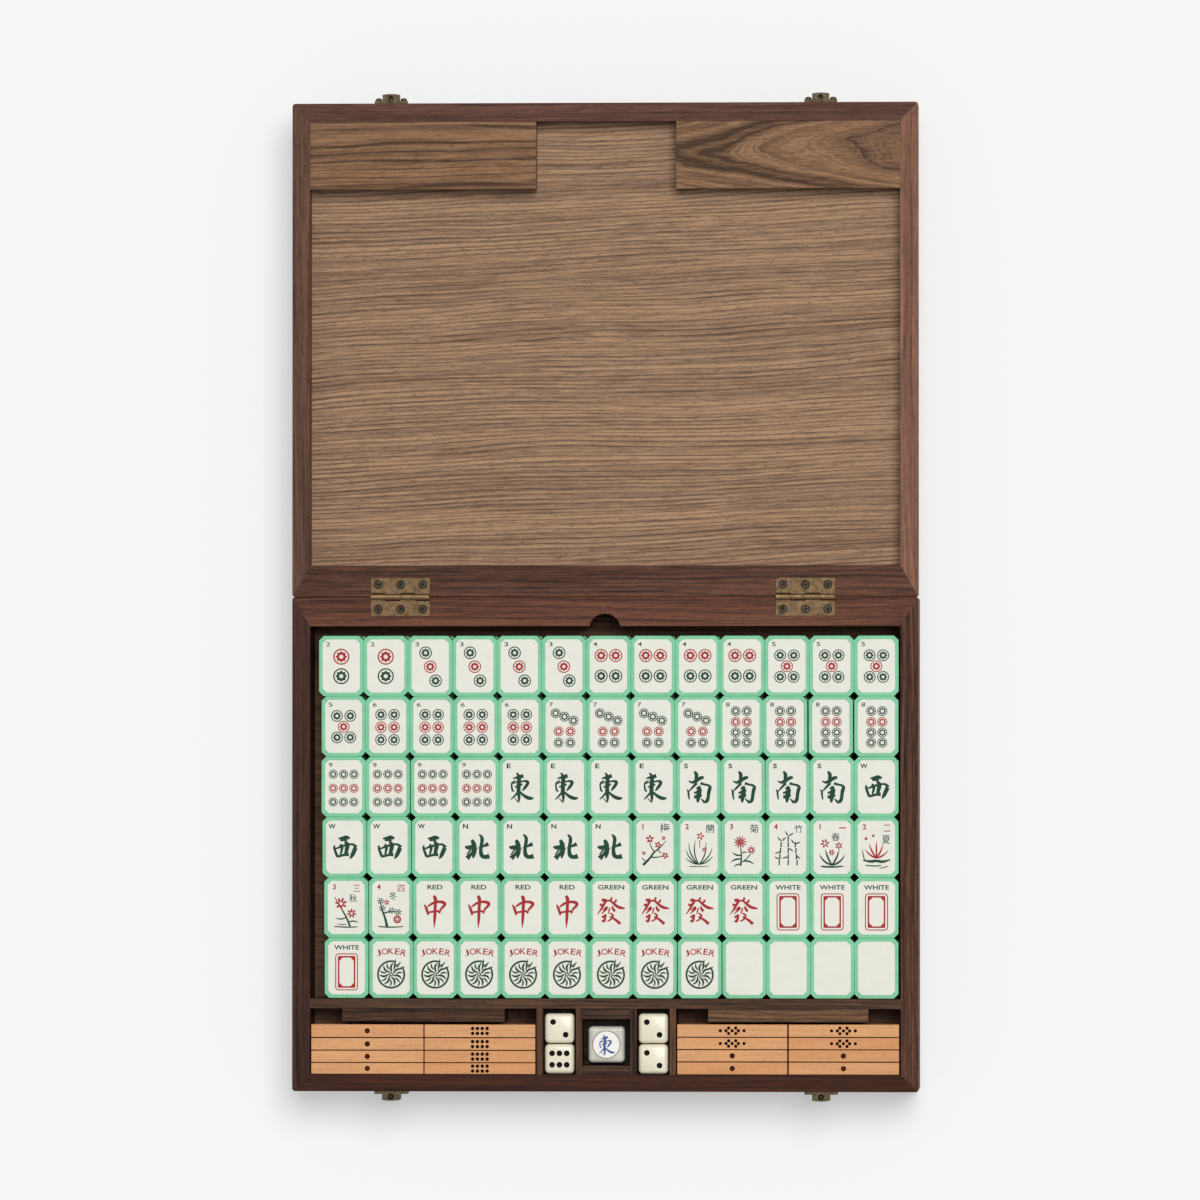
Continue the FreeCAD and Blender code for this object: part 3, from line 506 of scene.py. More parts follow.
def master(made, name="master"):
    """A shape kept ready for stamping."""
    mesh = bpy.data.meshes.new(name)
    made.to_mesh(mesh)
    made.free()
    return mesh


def stamp(made, mesh, place):
    start = len(made.verts)
    made.from_mesh(mesh)
    made.verts.ensure_lookup_table()
    fresh = made.verts[start:]
    bmesh.ops.transform(made, matrix=place, verts=fresh)
    return fresh


def as_mesh(name, data):
    """What a curve or text draws, as a mesh."""
    shape = linked(name, data)
    bpy.context.view_layer.update()
    mesh = bpy.data.meshes.new_from_object(shape)
    bpy.data.objects.remove(shape)
    return mesh


def piece(name, made, body, materials, stands_for=()):
    """A finished piece from a shape in millimetres, on a body. It may stand for CAD nodes."""
    bmesh.ops.scale(made, vec=(MM, MM, MM), verts=made.verts)
    mesh = master(made, name)
    for material in materials:
        mesh.materials.append(material)
    mesh.shade_smooth()
    mesh.set_sharp_from_angle(angle=SHARP_ANGLE)
    thing = linked(name, mesh)
    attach(thing, body)
    if stands_for:
        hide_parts(*stands_for)
    return thing


# The tiles

COLUMNS, ROWS = 13, 6
TILE_WIDTH, TILE_LENGTH, TILE_HEIGHT = 22.3, 30.44, 15.2
TILE_CORNER, TILE_EASE = 2.3, 0.12
FACE_INSET, FACE_CORNER, FACE_DEPTH, FACE_EASE = 1.75, 2.0, 3.0, 0.08
LAST_TILE_X, FIRST_TILE_Y, ROW_STEP = 137.1, -34.875, 30.51
ROW_GAPS, LOWER_GAP = (0.35, 0.25, 0.25, 0.21, 0.14, 0.12), 0.2
TILE_PITCH, TILE_TOUCH, TILE_TURN = 22.2, 0.06, 0.12
# how fast the tiles' small turns change from row to row and from column to column
ROW_SWAY, COLUMN_SWAY = 2.4, 1.7
# after which columns of each row a gap stands open, and how wide
OPEN_GAPS = (
    {},
    {10: 0.7, 11: 0.65},
    {1: 0.35, 9: 0.15},
    {0: 0.2, 1: 0.3},
    {0: 0.25, 1: 0.15, 7: 0.15},
    {0: 0.35, 1: 0.15, 7: 0.4, 8: 0.35},
)
LOWER_Z, UPPER_Z = 5.0, 20.2
MARK_LOW, MARK_HIGH = -0.03, 0.03
BRUSH_SPREAD, MARK_LIFT = 1.3, 0.002
UPPER_KINDS = (
    "2 2 3 3 3 3 4 4 4 4 5 5 5",
    "5 6 6 6 6 7 7 7 7 8 8 8 8",
    "9 9 9 9 east east east east south south south south west",
    "west west west north north north north plum orchid mum cane spring summer",
    "autumn winter red red red red green green green green white white white",
    "white joker joker joker joker joker joker joker joker blank blank blank blank",
)
LOWER_KINDS = (
    [f"{suit}_{number}" for suit in ("cane", "myriad") for number in range(1, 10) for _ in range(4)]
    + ["1"] * 4
    + ["2"] * 2
)


def face_block():
    """The block that a face fills, its corners cut."""
    z = TILE_HEIGHT - FACE_DEPTH / 2
    made = box_of(TILE_WIDTH - 2 * FACE_INSET, TILE_LENGTH - 2 * FACE_INSET, FACE_DEPTH, (0, 0, z))
    ease(made, upright(made), FACE_CORNER)
    return made


def tile_back():
    """The coloured back: cut corners, eased rims, and a seat sunk in its top for the face."""
    made = box_of(TILE_WIDTH, TILE_LENGTH, TILE_HEIGHT, (0, 0, TILE_HEIGHT / 2))
    ease(made, upright(made), TILE_CORNER)
    ease(made, at_height(made, 0) + at_height(made, TILE_HEIGHT), TILE_EASE)
    seat = face_block()
    bmesh.ops.reverse_faces(seat, faces=seat.faces)
    stamp(made, master(seat), Matrix.Identity(4))
    made.normal_update()
    brim = TILE_HEIGHT - NEAR
    tops = [f for f in made.faces if abs(f.normal.z) > LEVEL and f.calc_center_median().z > brim]
    rims = list({edge for face in tops for edge in face.edges})
    bmesh.ops.delete(made, geom=tops, context="FACES_ONLY")
    bmesh.ops.bridge_loops(made, edges=rims)
    return master(made, "tile_back")


def tile_face():
    """The pale face let into the back, its rim just eased."""
    made = face_block()
    ease(made, at_height(made, TILE_HEIGHT), FACE_EASE)
    return master(made, "tile_face")


def tile_places(row, gap, z, opened, tile_turn=0.0):
    """Where one row's tiles lie, from left to right: they touch but for the row's open gaps.

    Each is made as wide as its place.
    """
    steps = COLUMNS - 1
    pitch = TILE_PITCH + gap - sum(opened.values()) / steps
    width = Matrix.Scale((pitch - TILE_TOUCH) / TILE_WIDTH, 4, (1, 0, 0))
    x = LAST_TILE_X - steps * (TILE_PITCH + gap)
    for column in range(COLUMNS):
        turn = math.radians(tile_turn * math.sin(ROW_SWAY * row + COLUMN_SWAY * column))
        place = Matrix.Translation((x, FIRST_TILE_Y - row * ROW_STEP, z))
        yield place @ Matrix.Rotation(turn, 4, "Z") @ width
        x += pitch + opened.get(column, 0.0)


# What is cut into the faces. Places are in mm from the middle of a face, y towards the lid

DOT_DIAMETERS = {1: 12.5, 2: 8.2, 3: 6.4, 4: 6.7, 5: 6.0, 6: 5.8, 7: 5.0, 8: 5.0, 9: 4.6}
DOTS = {
    1: ["red 0,-1.2"],
    2: ["red 0,4.7", "green 0,-5.15"],
    3: ["green -2.35,6.65", "red 0,-.35", "green 2.7,-7.45"],
    4: ["red -3.65,5.25 3.65,5.25", "green -3.65,-5.1 3.65,-5.1"],
    5: ["green -3.4,5.3 3.4,5.3 -3.35,-5.6 3.35,-5.6", "red 0,-.2"],
    6: ["green -3.4,5.9 3.25,5.9 -3.4,-6.8 3.25,-6.8", "red -3.4,-.45 3.25,-.45"],
    7: ["green -4.3,6.6 .2,4.9 4.75,2.9 -2.8,-8.25 3.2,-8.25", "red -2.8,-2.55 3.2,-2.55"],
    8: ["green -2.65,7.7 3,7.7 -2.65,-3.1 3,-3.1 -2.65,-8.25 3,-8.25", "red -2.65,2.2 3,2.2"],
    9: [
        "green -5.25,6.3 0,6.3 5.25,6.3 -5.25,-7.75 0,-7.75 5.25,-7.75",
        "red -5.25,-.8 0,-.8 5.25,-.8",
    ],
}
RING_LINE, RING_STEPS, STAR_POINTS = 0.165, 20, 8
# a star's tips, its dips and how far its middle pales, on the larger dots and on the small ones
LARGE_STAR, SMALL_STAR, LAST_LARGE = (0.73, 0.54, 1.0), (0.79, 0.59, 1.3), 6
INDEX_PLACE, INDEX_HEIGHT, INDEX_WIDTH, NARROW_ONE = (-6.6, 11.0), 2.15, 2.0, 0.5
LETTER_PLACE, LETTER_HEIGHT = (-6.3, 10.5), 2.4

# Brush strokes: x, y and half width at each point
BRUSHED = {
    "east": """-2.35,7.1,.24 -1.5,6,.51 -1,4.3,.75 -1.2,2.3,.78 -1.3,-.1,.75 -1.4,-2.5,.75
        -1.1,-4.5,.58 -1.1,-6.6,.44 -1.3,-8,.14 | -1.3,-8,.17 -2.3,-6.9,.24 -3.5,-5.5,.1
        | -4.2,4.2,.17 -2.6,4.5,.44 -.6,5.1,.65 1.1,5.5,.72 | -2.8,3.1,.27 -4.5,2.2,.34 -4.9,1.3,.31
        -4.7,-.8,.34 -4.3,-2.2,.41 -3.5,-2.3,.17 | -.4,2.5,.27 1.3,2.9,.34 3,2.8,.51 3.5,2.1,.61
        2.7,.6,.58 1.6,-.8,.55 .6,-2.1,.17 | -4.2,1.4,.14 -3,2.1,.24 -1.9,2.5,.17 | -3.2,-.1,.34
        -1.9,.2,.27 | -.6,.9,.34 .6,1.2,.41 | -1.7,-2.8,.44 -2.8,-4.1,.38 -4,-5.3,.27 -5.1,-6.4,.2
        | -.9,-2.3,.31 .4,-3.7,.44 2.1,-5,.61 3.9,-5.8,.68 5.2,-5.9,.55 6.3,-5.7,.24""",
    "south": """-2.2,7.7,.34 -1,6.7,.68 -1,5.2,.65 -1.2,3.5,.58 -.85,2.1,.51 | -5,3,.17
        -3.75,2.1,.38 -2.4,2.3,.55 -.3,3.65,.61 1.4,4.7,.65 2.7,4.7,.44 | -5.6,-1.3,.24 -5,-2.7,.38
        -5,-4.4,.34 -4.6,-6.4,.24 | -4.8,-2.3,.17 -3.4,-.8,.38 -2,.75,.44 -.85,1.9,.51 | 1,1.8,.51
        3.1,1.1,.34 4.8,.9,.41 6.1,-.1,.51 5.5,-1.3,.68 5,-3.7,.58 4.9,-5.7,.58 4.3,-7.3,.68
        3.3,-8.1,.34 | 3.3,-8.1,.51 2.2,-6.9,.38 1.2,-5.9,.14 | .2,.4,.51 .5,-1.6,.85 .2,-3.7,.85
        -.2,-5.7,.78 -.4,-7.9,.34 | -2.2,-3.2,.34 -.3,-2.5,.51 1.7,-1.6,.34 | -2.2,-5.2,.58
        -.3,-4.9,.68 1.7,-4.2,.41 | -1.2,-1,.17 -.5,-.4,.27""",
    "west": """-3.1,4.3,.24 -.85,4.6,.51 1.2,5.1,.75 2.7,4.3,.34 | -2.2,3.4,.31 -.2,3.6,.51
        1.2,4.1,.68 | -5.1,.85,.31 -5.3,-.3,.44 -4.6,-2.4,.44 -3.75,-4.4,.51 -3.6,-5.1,.34
        | -4.9,-1,.24 -2.9,-.2,.38 -.85,.5,.41 1.2,1.2,.41 3.6,1.5,.34 4.9,1.2,.44 6,-.2,.58
        | 5.6,-.3,.75 4.6,-2.7,.75 3.6,-4.8,.61 2.7,-5.9,.17 | -3.6,-4.8,.44 -1.5,-4.3,.41
        .5,-3.75,.44 2.2,-3.75,.68 | -2.2,1.4,.41 -1.2,.3,.58 -1.4,-1.7,.41 -2,-3.75,.34 | 0,2.7,.34
        1.4,2,.68 1.5,.3,.75 1,-1.7,.68 .5,-3.75,.51""",
    "north": """-3.2,3.65,.58 -2.2,2.3,.89 -1.9,-.1,1.02 -1.9,-2.5,.96 -2.2,-4.2,.68 -2.4,-5.6,.27
        | -6.5,.4,.34 -5.6,-.3,.75 -3.9,-.1,.85 -2.4,.4,.68 | -5.5,-5.7,1.06 -4.4,-4.5,.75
        -3.2,-3.2,.58 -2.4,-2.1,.51 | -5.6,-3.9,.2 -4.4,-2,.44 -3.4,-1.1,.34 | .5,6.4,.24
        1.7,5.7,.58 2.2,4,.72 1.9,1.9,.68 1.5,-.1,.68 1.4,-2.1,.72 1.7,-3.9,.85 2.6,-4.9,.78
        4.3,-5,.78 5.8,-4.5,1.02 | 2.2,.2,.34 3.6,.9,.58 5.3,1.6,.85 | -1.2,-1.5,.1 .5,-.1,.14""",
    "red": """-.6,6,.51 .3,4.8,.78 .3,2.7,.61 .1,0,.61 0,-2.7,.61 -.1,-5.5,.58 -.3,-8.2,.38
        -.4,-10.4,.07 | -5.35,1.5,.24 -4.5,0,.51 -4,-1.7,.58 -3.3,-3.75,.41 | -3.8,.3,.27
        -2.1,1.7,.48 -.1,2.6,.48 2.3,3,.51 4.4,2.6,.68 5.4,1.7,.58 4,.2,.51 2.5,-1.4,.41
        | -3.65,-2.6,.41 -1.8,-2.2,.38 .3,-1.9,.38 1.6,-1.7,.41 2.8,-2.6,.61""",
    "green": """-4.8,3.6,.58 -3.4,4.1,.61 -2.6,3.4,.58 -3.6,1.9,.51 -4.4,.3,.51 -5.5,-1.4,.31
        -6.9,-3.4,.14 | -5.8,1.5,.58 -4.4,1.4,.41 | -2.6,3.4,.41 -1,3.75,.34 .2,3.1,.44 1.4,1.9,.51
        3.1,.5,.58 5.1,-.2,.58 7,-.4,.24 | 0,5.3,.34 .5,4.3,.51 -.7,3.6,.27 | 2.4,4.1,.38
        2.7,3.4,.51 1.5,2.4,.31 | -4.4,-1.4,.17 -2.7,0,.41 -2,.3,.41 -2.4,-1,.38 -4.1,-2.2,.27
        -4.8,-3.1,.17 | -4.8,-4.8,.44 -3.4,-4.4,.44 -2.6,-3.4,.38 | -2.6,-3.4,.34 -3.1,-5.5,.44
        -3.75,-7.2,.68 -4.8,-6.5,.27 | -.7,0,.27 -1,-1.4,.34 -1.5,-3.1,.2 | .7,.7,.41 .5,-.7,.44
        2,-1.7,.58 | -.7,-2.7,.24 1,-3.4,.44 .7,-4.9,.41 -.7,-6.5,.34 -2,-6.8,.2 | -.7,-4.4,.27
        1.4,-5.5,.44 3.1,-6.8,.55 4.6,-8.2,.61""",
}
BRUSH_INKS = {"red": "red", "green": "red"}
BRUSH_WEIGHTS = {"west": 1.15, "south": 1.12, "east": 1.08}
# how far letters are thickened: as a rule, and in words, index numbers, signs and the joker's own
BOLD, WORD_BOLD, INDEX_BOLD, SIGN_BOLD, JOKER_BOLD = 0.03, 0.02, 0.008, 0.004, 0.012
WIND_LETTERS = {"east": ("E", 2.1), "south": ("S", 1.95), "west": ("W", 3.6), "north": ("N", 2.6)}
WORDS = {"red": ("RED", 7.7), "green": ("GREEN", 13.4), "white": ("WHITE", 12.7)}
WORD_HEIGHT, WORD_Y = 2.3, 10.3
JOKER_WORD = {"J": 2.2, "O": 3.3, "K": 2.9, "E": 2.5, "R": 2.9}
JOKER_LETTER, JOKER_TOP, JOKER_ARC, JOKER_STEP = 3.1, 8.5, 21.6, 8.6
# the joker's roundel: its ring, open between two angles, the leaves turned round its middle, and
# the spray that grows out of the opening
ROUNDEL_MIDDLE, ROUNDEL_RADIUS, ROUNDEL_LINE, ROUNDEL_STEPS = (0, -3.3), 6.75, 0.36, 24
ROUNDEL_START, ROUNDEL_SWEEP = math.radians(75), math.radians(318)
ROUNDEL_LEAVES = """1.2,0,.22 2.6,1.3,.42 4.3,1.7,.4 5.8,1.1,.15
    | 2.4,-.6,.12 3.6,-.2,.36 5,-.4,.3 6,-1.2,.1 | 1.7,-.7,.1 2.3,-1.4,.26 3.2,-2,.1"""
ROUNDEL_ARMS, ROUNDEL_TURN, ROUNDEL_EYE, ROUNDEL_EYE_LINE = 7, 0.3, 0.75, 0.2
SPRAY_TURN, SPRAY_LEANS = math.radians(52), (-0.32, 0.0, 0.3)
SPRAY = ((4.6, 0, 0.3), (6.4, 0.3, 0.42), (8.0, 2, 0.1))
# The flower and season tiles: their number, their signs with place, size and ink, and the green and
# the red strokes. cane, leaf, blade, bloom and loop are drawn by the functions of those names
PICTURES = {
    "plum": (
        "1", [("梅", 5.1, 9.7, 5.2, "green")],
        """-6,-9,.5 -3,-6.4,.42 -.5,-2.4,.34 3.6,.4,.22 5.6,3.4,.1 | -2,-5,.3 1.6,-5.6,.24 5,-3.8,.1
        | -.4,-2.2,.24 -2.6,.6,.2 -2.6,3.4,.1 | blade 1.2,-1.2 3.2,-3.4 .2 .3
        | blade -4,-7.2 -6.6,-5.2 .2 .3""",
        """bloom -2.5,4.2 2 5 .3 .42 | bloom 5.2,-4.2 1.7 5 .9 .38 | bloom 1.6,1.2 1.7 5 .1 .38
        | loop -5.6,-3 .6 | loop 4.4,4.6 .6""",
    ),
    "orchid": (
        "2", [("蘭", 5.6, 9.4, 4.6, "green")],
        """blade -.6,-8.6 -6.6,-1.5 .22 | blade -.4,-8.6 -5.2,2.2 .22 | blade -.2,-8.6 -1.8,3.4 .22
        | blade 0,-8.6 3.4,2.4 -.22 | blade .2,-8.6 6.6,-.4 -.22 | blade .4,-8.6 6.8,-4.6 -.22
        | blade .6,-8.6 -6.8,-5.4 .22 | -5,-9.6,.15 0,-9.9,.2 5,-9.5,.1""",
        "bloom .6,5.6 2 5 1.3 .34 | bloom 2.6,-1.2 1.2 5 .2 .26 | .4,3.6,.2 .3,1.6,.16 .2,-.4,.1",
    ),
    "mum": (
        "3", [("菊", 5.4, 9.4, 4.6, "green")],
        """-1.4,-.6,.2 -.6,-4,.26 -1.4,-9.4,.34 | 3.6,-3.4,.18 1.8,-6,.22 -.9,-7.6,.2
        | blade -.9,-4 -5.6,-2.6 .25 .5 | blade -1,-6 -6.4,-7.6 -.25 .5 | blade 0,-7 5.4,-8.6 .25 .5
        | blade -.6,-3 2,-2.6 .3 .36 | blade -1.3,-8.4 -5,-10 -.2 .4""",
        "bloom -1.6,2.6 3.2 12 .1 .26 | loop -1.6,2.6 .5 .24 | bloom 4,-1.4 2.1 9 .2 .24",
    ),
    "cane": (
        "4", [("竹", 5.4, 9.4, 4.4, "green")],
        """cane -4.3,-9 .3 4 | cane .2,-9 0 5 | cane 4.7,-9 -.3 4 | leaf -3,3 2.4 | leaf -3,3 .8
        | leaf .4,5.6 2.2 | leaf .4,5.6 .6 | leaf 3.6,1.6 .4 | leaf 3.6,1.6 2.3 | leaf -3.6,-2 3.6
        | leaf .2,-.4 5.8 | leaf 3.9,-4 5.7 | leaf -3.9,-6 2.8 | leaf .2,-4.6 3.5""",
        "",
    ),
    "spring": (
        "1", [("一", 5.3, 9.8, 3.7, "red"), ("春", 1.8, 5.2, 4.4, "green")],
        """blade 0,-9 -6.4,-3.4 .25 .55 | blade 0,-9 -3.4,-1 .1 .55 | blade 0,-9 3.6,-1.2 -.1 .55
        | blade 0,-9 6.4,-3.8 -.25 .55 | -5.6,-9.6,.3 0,-10.2,.45 5.8,-9.5,.2""",
        "bloom -3.6,2 2.3 6 .2 .34 | bloom 3.4,.8 1.9 6 .5 .3 | bloom -.2,-2.6 1.6 6 .1 .28",
    ),
    "summer": (
        "2", [("二", 5.4, 9.7, 3.7, "red"), ("夏", 4.9, 3.9, 4.6, "green")],
        """-7,-6.4,.2 -3,-7.4,.6 0,-6.6,.5 3.4,-7.6,.6 7,-6.2,.2 | -5.6,-9,.2 -1,-9.7,.3 2.4,-9.1,.2
        | 1.4,-10.6,.14 4,-10.2,.24 6,-9.4,.12 | blade -5.8,-6.6 -7,-1 .1 .3""",
        """blade 0,-5.4 -5.6,-1 .2 .5 | blade 0,-5.4 -3.6,1.8 .12 .5 | blade 0,-5.4 0,3 0 .5
        | blade 0,-5.4 3.2,1.4 -.12 .5 | blade 0,-5.4 5.8,-1.6 -.2 .5 | loop -5.2,4.4 .5
        | loop -1.6,5.8 .4""",
    ),
    "autumn": (
        "3", [("三", 5.4, 9.7, 3.7, "red"), ("秋", 3.6, 4.6, 4.4, "green")],
        """-6,5.4,.14 -2.8,0,.26 .6,-5.6,.34 2,-9.6,.4 | blade 0,-5 -5.4,-5.4 .25 .4
        | blade 1.2,-7.4 6.2,-7.6 .25 .4 | -6,-9.6,.2 0,-10.2,.34 6,-9.8,.16
        | -4.6,-8.4,.1 -2,-8.8,.24 .4,-8.5,.1""",
        "bloom -2.6,2 3 7 .3 .42 | bloom 2.8,-3 2.4 7 .7 .36",
    ),
    "winter": (
        "4", [("四", 5.3, 9.7, 3.7, "red"), ("冬", 1.2, 5.8, 4.4, "green")],
        """-5.4,4,.16 -4.6,-1,.34 -2.6,-5.4,.42 -1.8,-9.8,.55 | -3.6,-3,.3 .2,-1.4,.26 4.4,-2.4,.12
        | -6.2,-9.6,.2 0,-10.3,.34 6.4,-9.6,.16 | bloom -5,3.2 1.9 7 .3 .2
        | bloom -4.2,-.4 1.9 7 .3 .2 | bloom .6,-1.6 1.9 7 .3 .2 | bloom 3.8,-2.4 1.9 7 .3 .2""",
        "loop 3.4,-6 1.7 .3 | loop 3.4,-6 .8 .2 | bloom -2,2.6 1.4 5 .4 .3",
    ),
}
# along a petal, in shares of its length, how wide it is, and how wide a blade's root and tip are
PETAL = ((0.25, 0.6), (0.6, 1.5), (1.0, 0.5))
BLADE_ROOT, BLADE_TIP = 0.5, 0.08
# the pictures' cane, between two of its joints, and its leaf
CANE_JOINT, CANE_STROKE = 3, ((0, 0, 0.3), (0.05, 1.3, 0.22), (0.1, 2.6, 0.3))
LEAF_STROKE = ((0.2, 0, 0.12), (1.4, 0.1, 0.42), (3.1, -0.2, 0.08))
# the bamboo tiles: how many canes each row has, which tiles have red ones, and how the canes lie
CANE_ROWS = {1: "", 2: "11", 3: "12", 4: "22", 5: "212", 6: "33", 7: "133", 8: "44", 9: "333"}
RED_CANES = (5, 7, 9)
CANE_MIDDLE, CANE_STEP, CANE_LENGTH, CANE_SPACE, CANE_CLOSE = -1, 8.61, 14.8, 2.5, 2.1
BAMBOO_CANE = ((-1, 0.6), (-0.5, 0.35), (0, 0.75), (0.5, 0.35), (1, 0.6))
# the one: a shoot, its pairs of leaves with their reach, bow and half width, and a root below
SHOOT, SHOOT_LEAVES, SHOOT_TIP = "0,-9,.5 .3,-3,.7 0,2,.55 -.3,7.4,.1", (-7, -3.4, 0.2), (4.6, 3.4)
SHOOT_BOW, SHOOT_HALF, SHOOT_ROOT = 0.2, 0.6, "loop 0,-9.6 1.1 .3"
# the character tiles: the sign of each number, the sign below it, and their sizes and places
NUMERALS = "一二三四五六七八九"
MYRIAD = "萬"
NUMERAL_HEIGHT, ONE_HEIGHT, NUMERAL_WIDTH, NUMERAL_PLACE = 6.5, 1.8, 8.5, (0.6, 5.2)
MYRIAD_SIZE, MYRIAD_PLACE = 9.5, (0, -5.6)
# the number on a flower or season tile
PICTURE_NUMBER, PICTURE_NUMBER_PLACE = 2.7, (-6.0, 10.4)
SIGN_FILL, FLAT_SIGN_FILL = 0.93, 0.16
FRAMES = ((11.6, 18.7, 1.7, 0.5), (8.9, 16.1, 0.5, 0.8))
FRAME_Y, FRAME_CUT, LEAST_CORNER = -2.05, 1.7, 0.2


def brushed(inked, strokes, size=1.0, weight=1.0):
    """Adds brush strokes: closed flat ridges as wide as each point says, each a hair higher."""
    for i, stroke in enumerate(strokes):
        curve = bpy.data.curves.new("brush", "CURVE")
        curve.dimensions = "3D"
        curve.twist_mode = "Z_UP"
        curve.bevel_depth = 1.0
        curve.bevel_resolution = 0
        curve.resolution_u = 3
        curve.use_fill_caps = True
        line = curve.splines.new("NURBS")
        line.points.add(len(stroke) - 1)
        for point, (x, y, half) in zip(line.points, stroke):
            point.co = (x * size, y * size, 0, 1)
            point.radius = half * size * weight * BRUSH_SPREAD
        line.order_u = min(3, len(stroke))
        line.use_endpoint_u = True
        mesh = as_mesh("brush", curve)
        for vert in mesh.vertices:
            vert.co.z = MARK_HIGH + i * MARK_LIFT if vert.co.z > -NEAR else MARK_LOW
        inked.from_mesh(mesh)


def lettered(inked, text, height, middle, width=None, turn=0.0, bold=BOLD):
    """Adds plain lettering of a given height, and width if one is given."""
    words = bpy.data.curves.new("lettering", "FONT")
    words.body = text
    words.resolution_u = 3
    words.offset = bold
    letters = bmesh.new()
    letters.from_mesh(as_mesh("lettering", words))
    low = Vector([min(v.co[i] for v in letters.verts) for i in range(3)])
    high = Vector([max(v.co[i] for v in letters.verts) for i in range(3)])
    up = height / (high.y - low.y)
    across = width / (high.x - low.x) if width else up
    bmesh.ops.translate(letters, vec=-(low + high) / 2, verts=letters.verts)
    bmesh.ops.scale(letters, vec=(across, up, 1), verts=letters.verts)
    raised(letters, MARK_LOW, MARK_HIGH)
    place = Matrix.Translation((*middle, 0)) @ Matrix.Rotation(turn, 4, "Z")
    stamp(inked, master(letters), place)


def indexed(inks, number):
    """The small number in a corner of a face."""
    width = INDEX_WIDTH * (NARROW_ONE if number == 1 else 1)
    lettered(inks["green"], str(number), INDEX_HEIGHT, INDEX_PLACE, width, bold=INDEX_BOLD)


def fade_layer(made):
    return made.verts.layers.float.get("fade") or made.verts.layers.float.new("fade")


def unit_dot(tip, dip, paled):
    """A dot of radius 1: a ring round an eight-pointed star that pales to its middle."""
    ring = bmesh.new()
    fade_layer(ring)
    bmesh.ops.create_circle(ring, cap_ends=True, segments=RING_STEPS, radius=1)
    bmesh.ops.inset_region(ring, faces=ring.faces[:], thickness=RING_LINE, use_boundary=True)
    inner = [f for f in ring.faces if len(f.verts) > 4]
    bmesh.ops.delete(ring, geom=inner, context="FACES")
    raised(ring, MARK_LOW, MARK_HIGH)
    star = bmesh.new()
    fade = fade_layer(star)
    steps = 2 * STAR_POINTS
    bmesh.ops.create_circle(star, cap_ends=True, cap_tris=True, segments=steps, radius=tip)
    rim = 0
    for vert in star.verts:
        if vert.co.length < NEAR:
            vert[fade] = paled
        else:
            if rim % 2:
                vert.co *= dip / tip
            rim += 1
    raised(star, MARK_LOW, MARK_HIGH)
    stamp(ring, master(star), Matrix.Identity(4))
    return master(ring, "dot")


def dotted(inks, number):
    """The circles of a dot tile and its index number."""
    dot = LARGE_DOT if number <= LAST_LARGE else SMALL_DOT
    radius = DOT_DIAMETERS[number] / 2
    size = Matrix.Diagonal((radius, radius, 1, 1))
    for group in DOTS[number]:
        colour, places = group.split(" ", 1)
        for spot in places.split():
            x, y = map(float, spot.split(","))
            stamp(inks[colour], dot, Matrix.Translation((x, y, 0)) @ size)
    indexed(inks, number)


def outline_frame(inked, width, length, corner, line, cut=0.0):
    """One line of a double frame: an even rounded line, or with its inner corners cut across."""
    made = bmesh.new()
    inner = cut or max(LEAST_CORNER, corner - line)
    loops = []
    for steps, wide, long, round_by in (
        (3, width, length, corner),
        (1 if cut else 3, width - 2 * line, length - 2 * line, inner),
    ):
        ring = bmesh.new()
        bmesh.ops.create_grid(ring, x_segments=1, y_segments=1, size=0.5)
        bmesh.ops.scale(ring, vec=(wide, long, 1), verts=ring.verts)
        ease(ring, ring.verts[:], round_by, steps, "VERTICES")
        bmesh.ops.delete(ring, geom=ring.faces[:], context="FACES_ONLY")
        start = len(made.edges)
        made.from_mesh(master(ring))
        made.edges.ensure_lookup_table()
        loops += made.edges[start:]
    bmesh.ops.bridge_loops(made, edges=loops)
    raised(made, MARK_LOW, MARK_HIGH)
    stamp(inked, master(made), Matrix.Translation((0, FRAME_Y, 0)))


def turned_stroke(points, middle, turn):
    """A stroke turned about the origin and moved."""
    c, s = math.cos(turn), math.sin(turn)
    return [(middle[0] + x * c - y * s, middle[1] + x * s + y * c, half) for x, y, half in points]


def bloom(middle, radius, petals, turn=0.0, half=0.3):
    """Petals set round a middle, as strokes."""
    petal = [(at * radius, 0, half * wide) for at, wide in PETAL]
    return [turned_stroke(petal, middle, turn + math.tau * i / petals) for i in range(int(petals))]


def loop(middle, radius, half=0.22, start=0.0, sweep=math.tau, steps=10):
    """A ring, or part of one."""
    x, y = middle
    angles = [start + sweep * i / steps for i in range(steps + 1)]
    return [[(x + radius * math.cos(a), y + radius * math.sin(a), half) for a in angles]]


def blade(root, tip, bow, half=0.38):
    """A leaf from root to tip that bows to one side."""
    (x0, y0), (x1, y1) = root, tip
    mid = ((x0 + x1) / 2 - (y1 - y0) * bow, (y0 + y1) / 2 + (x1 - x0) * bow)
    return [[(x0, y0, half * BLADE_ROOT), (*mid, half), (x1, y1, BLADE_TIP)]]


def leaf(stem, turn):
    """A bamboo leaf."""
    return [turned_stroke(LEAF_STROKE, stem, turn)]


def cane(foot, lean, lengths):
    """A bamboo cane, with a stroke between each two of its joints. lean is in mm for each."""
    x, y = foot
    return [
        [(x + lean * k + dx, y + CANE_JOINT * k + dy, half) for dx, dy, half in CANE_STROKE]
        for k in range(int(lengths))
    ]


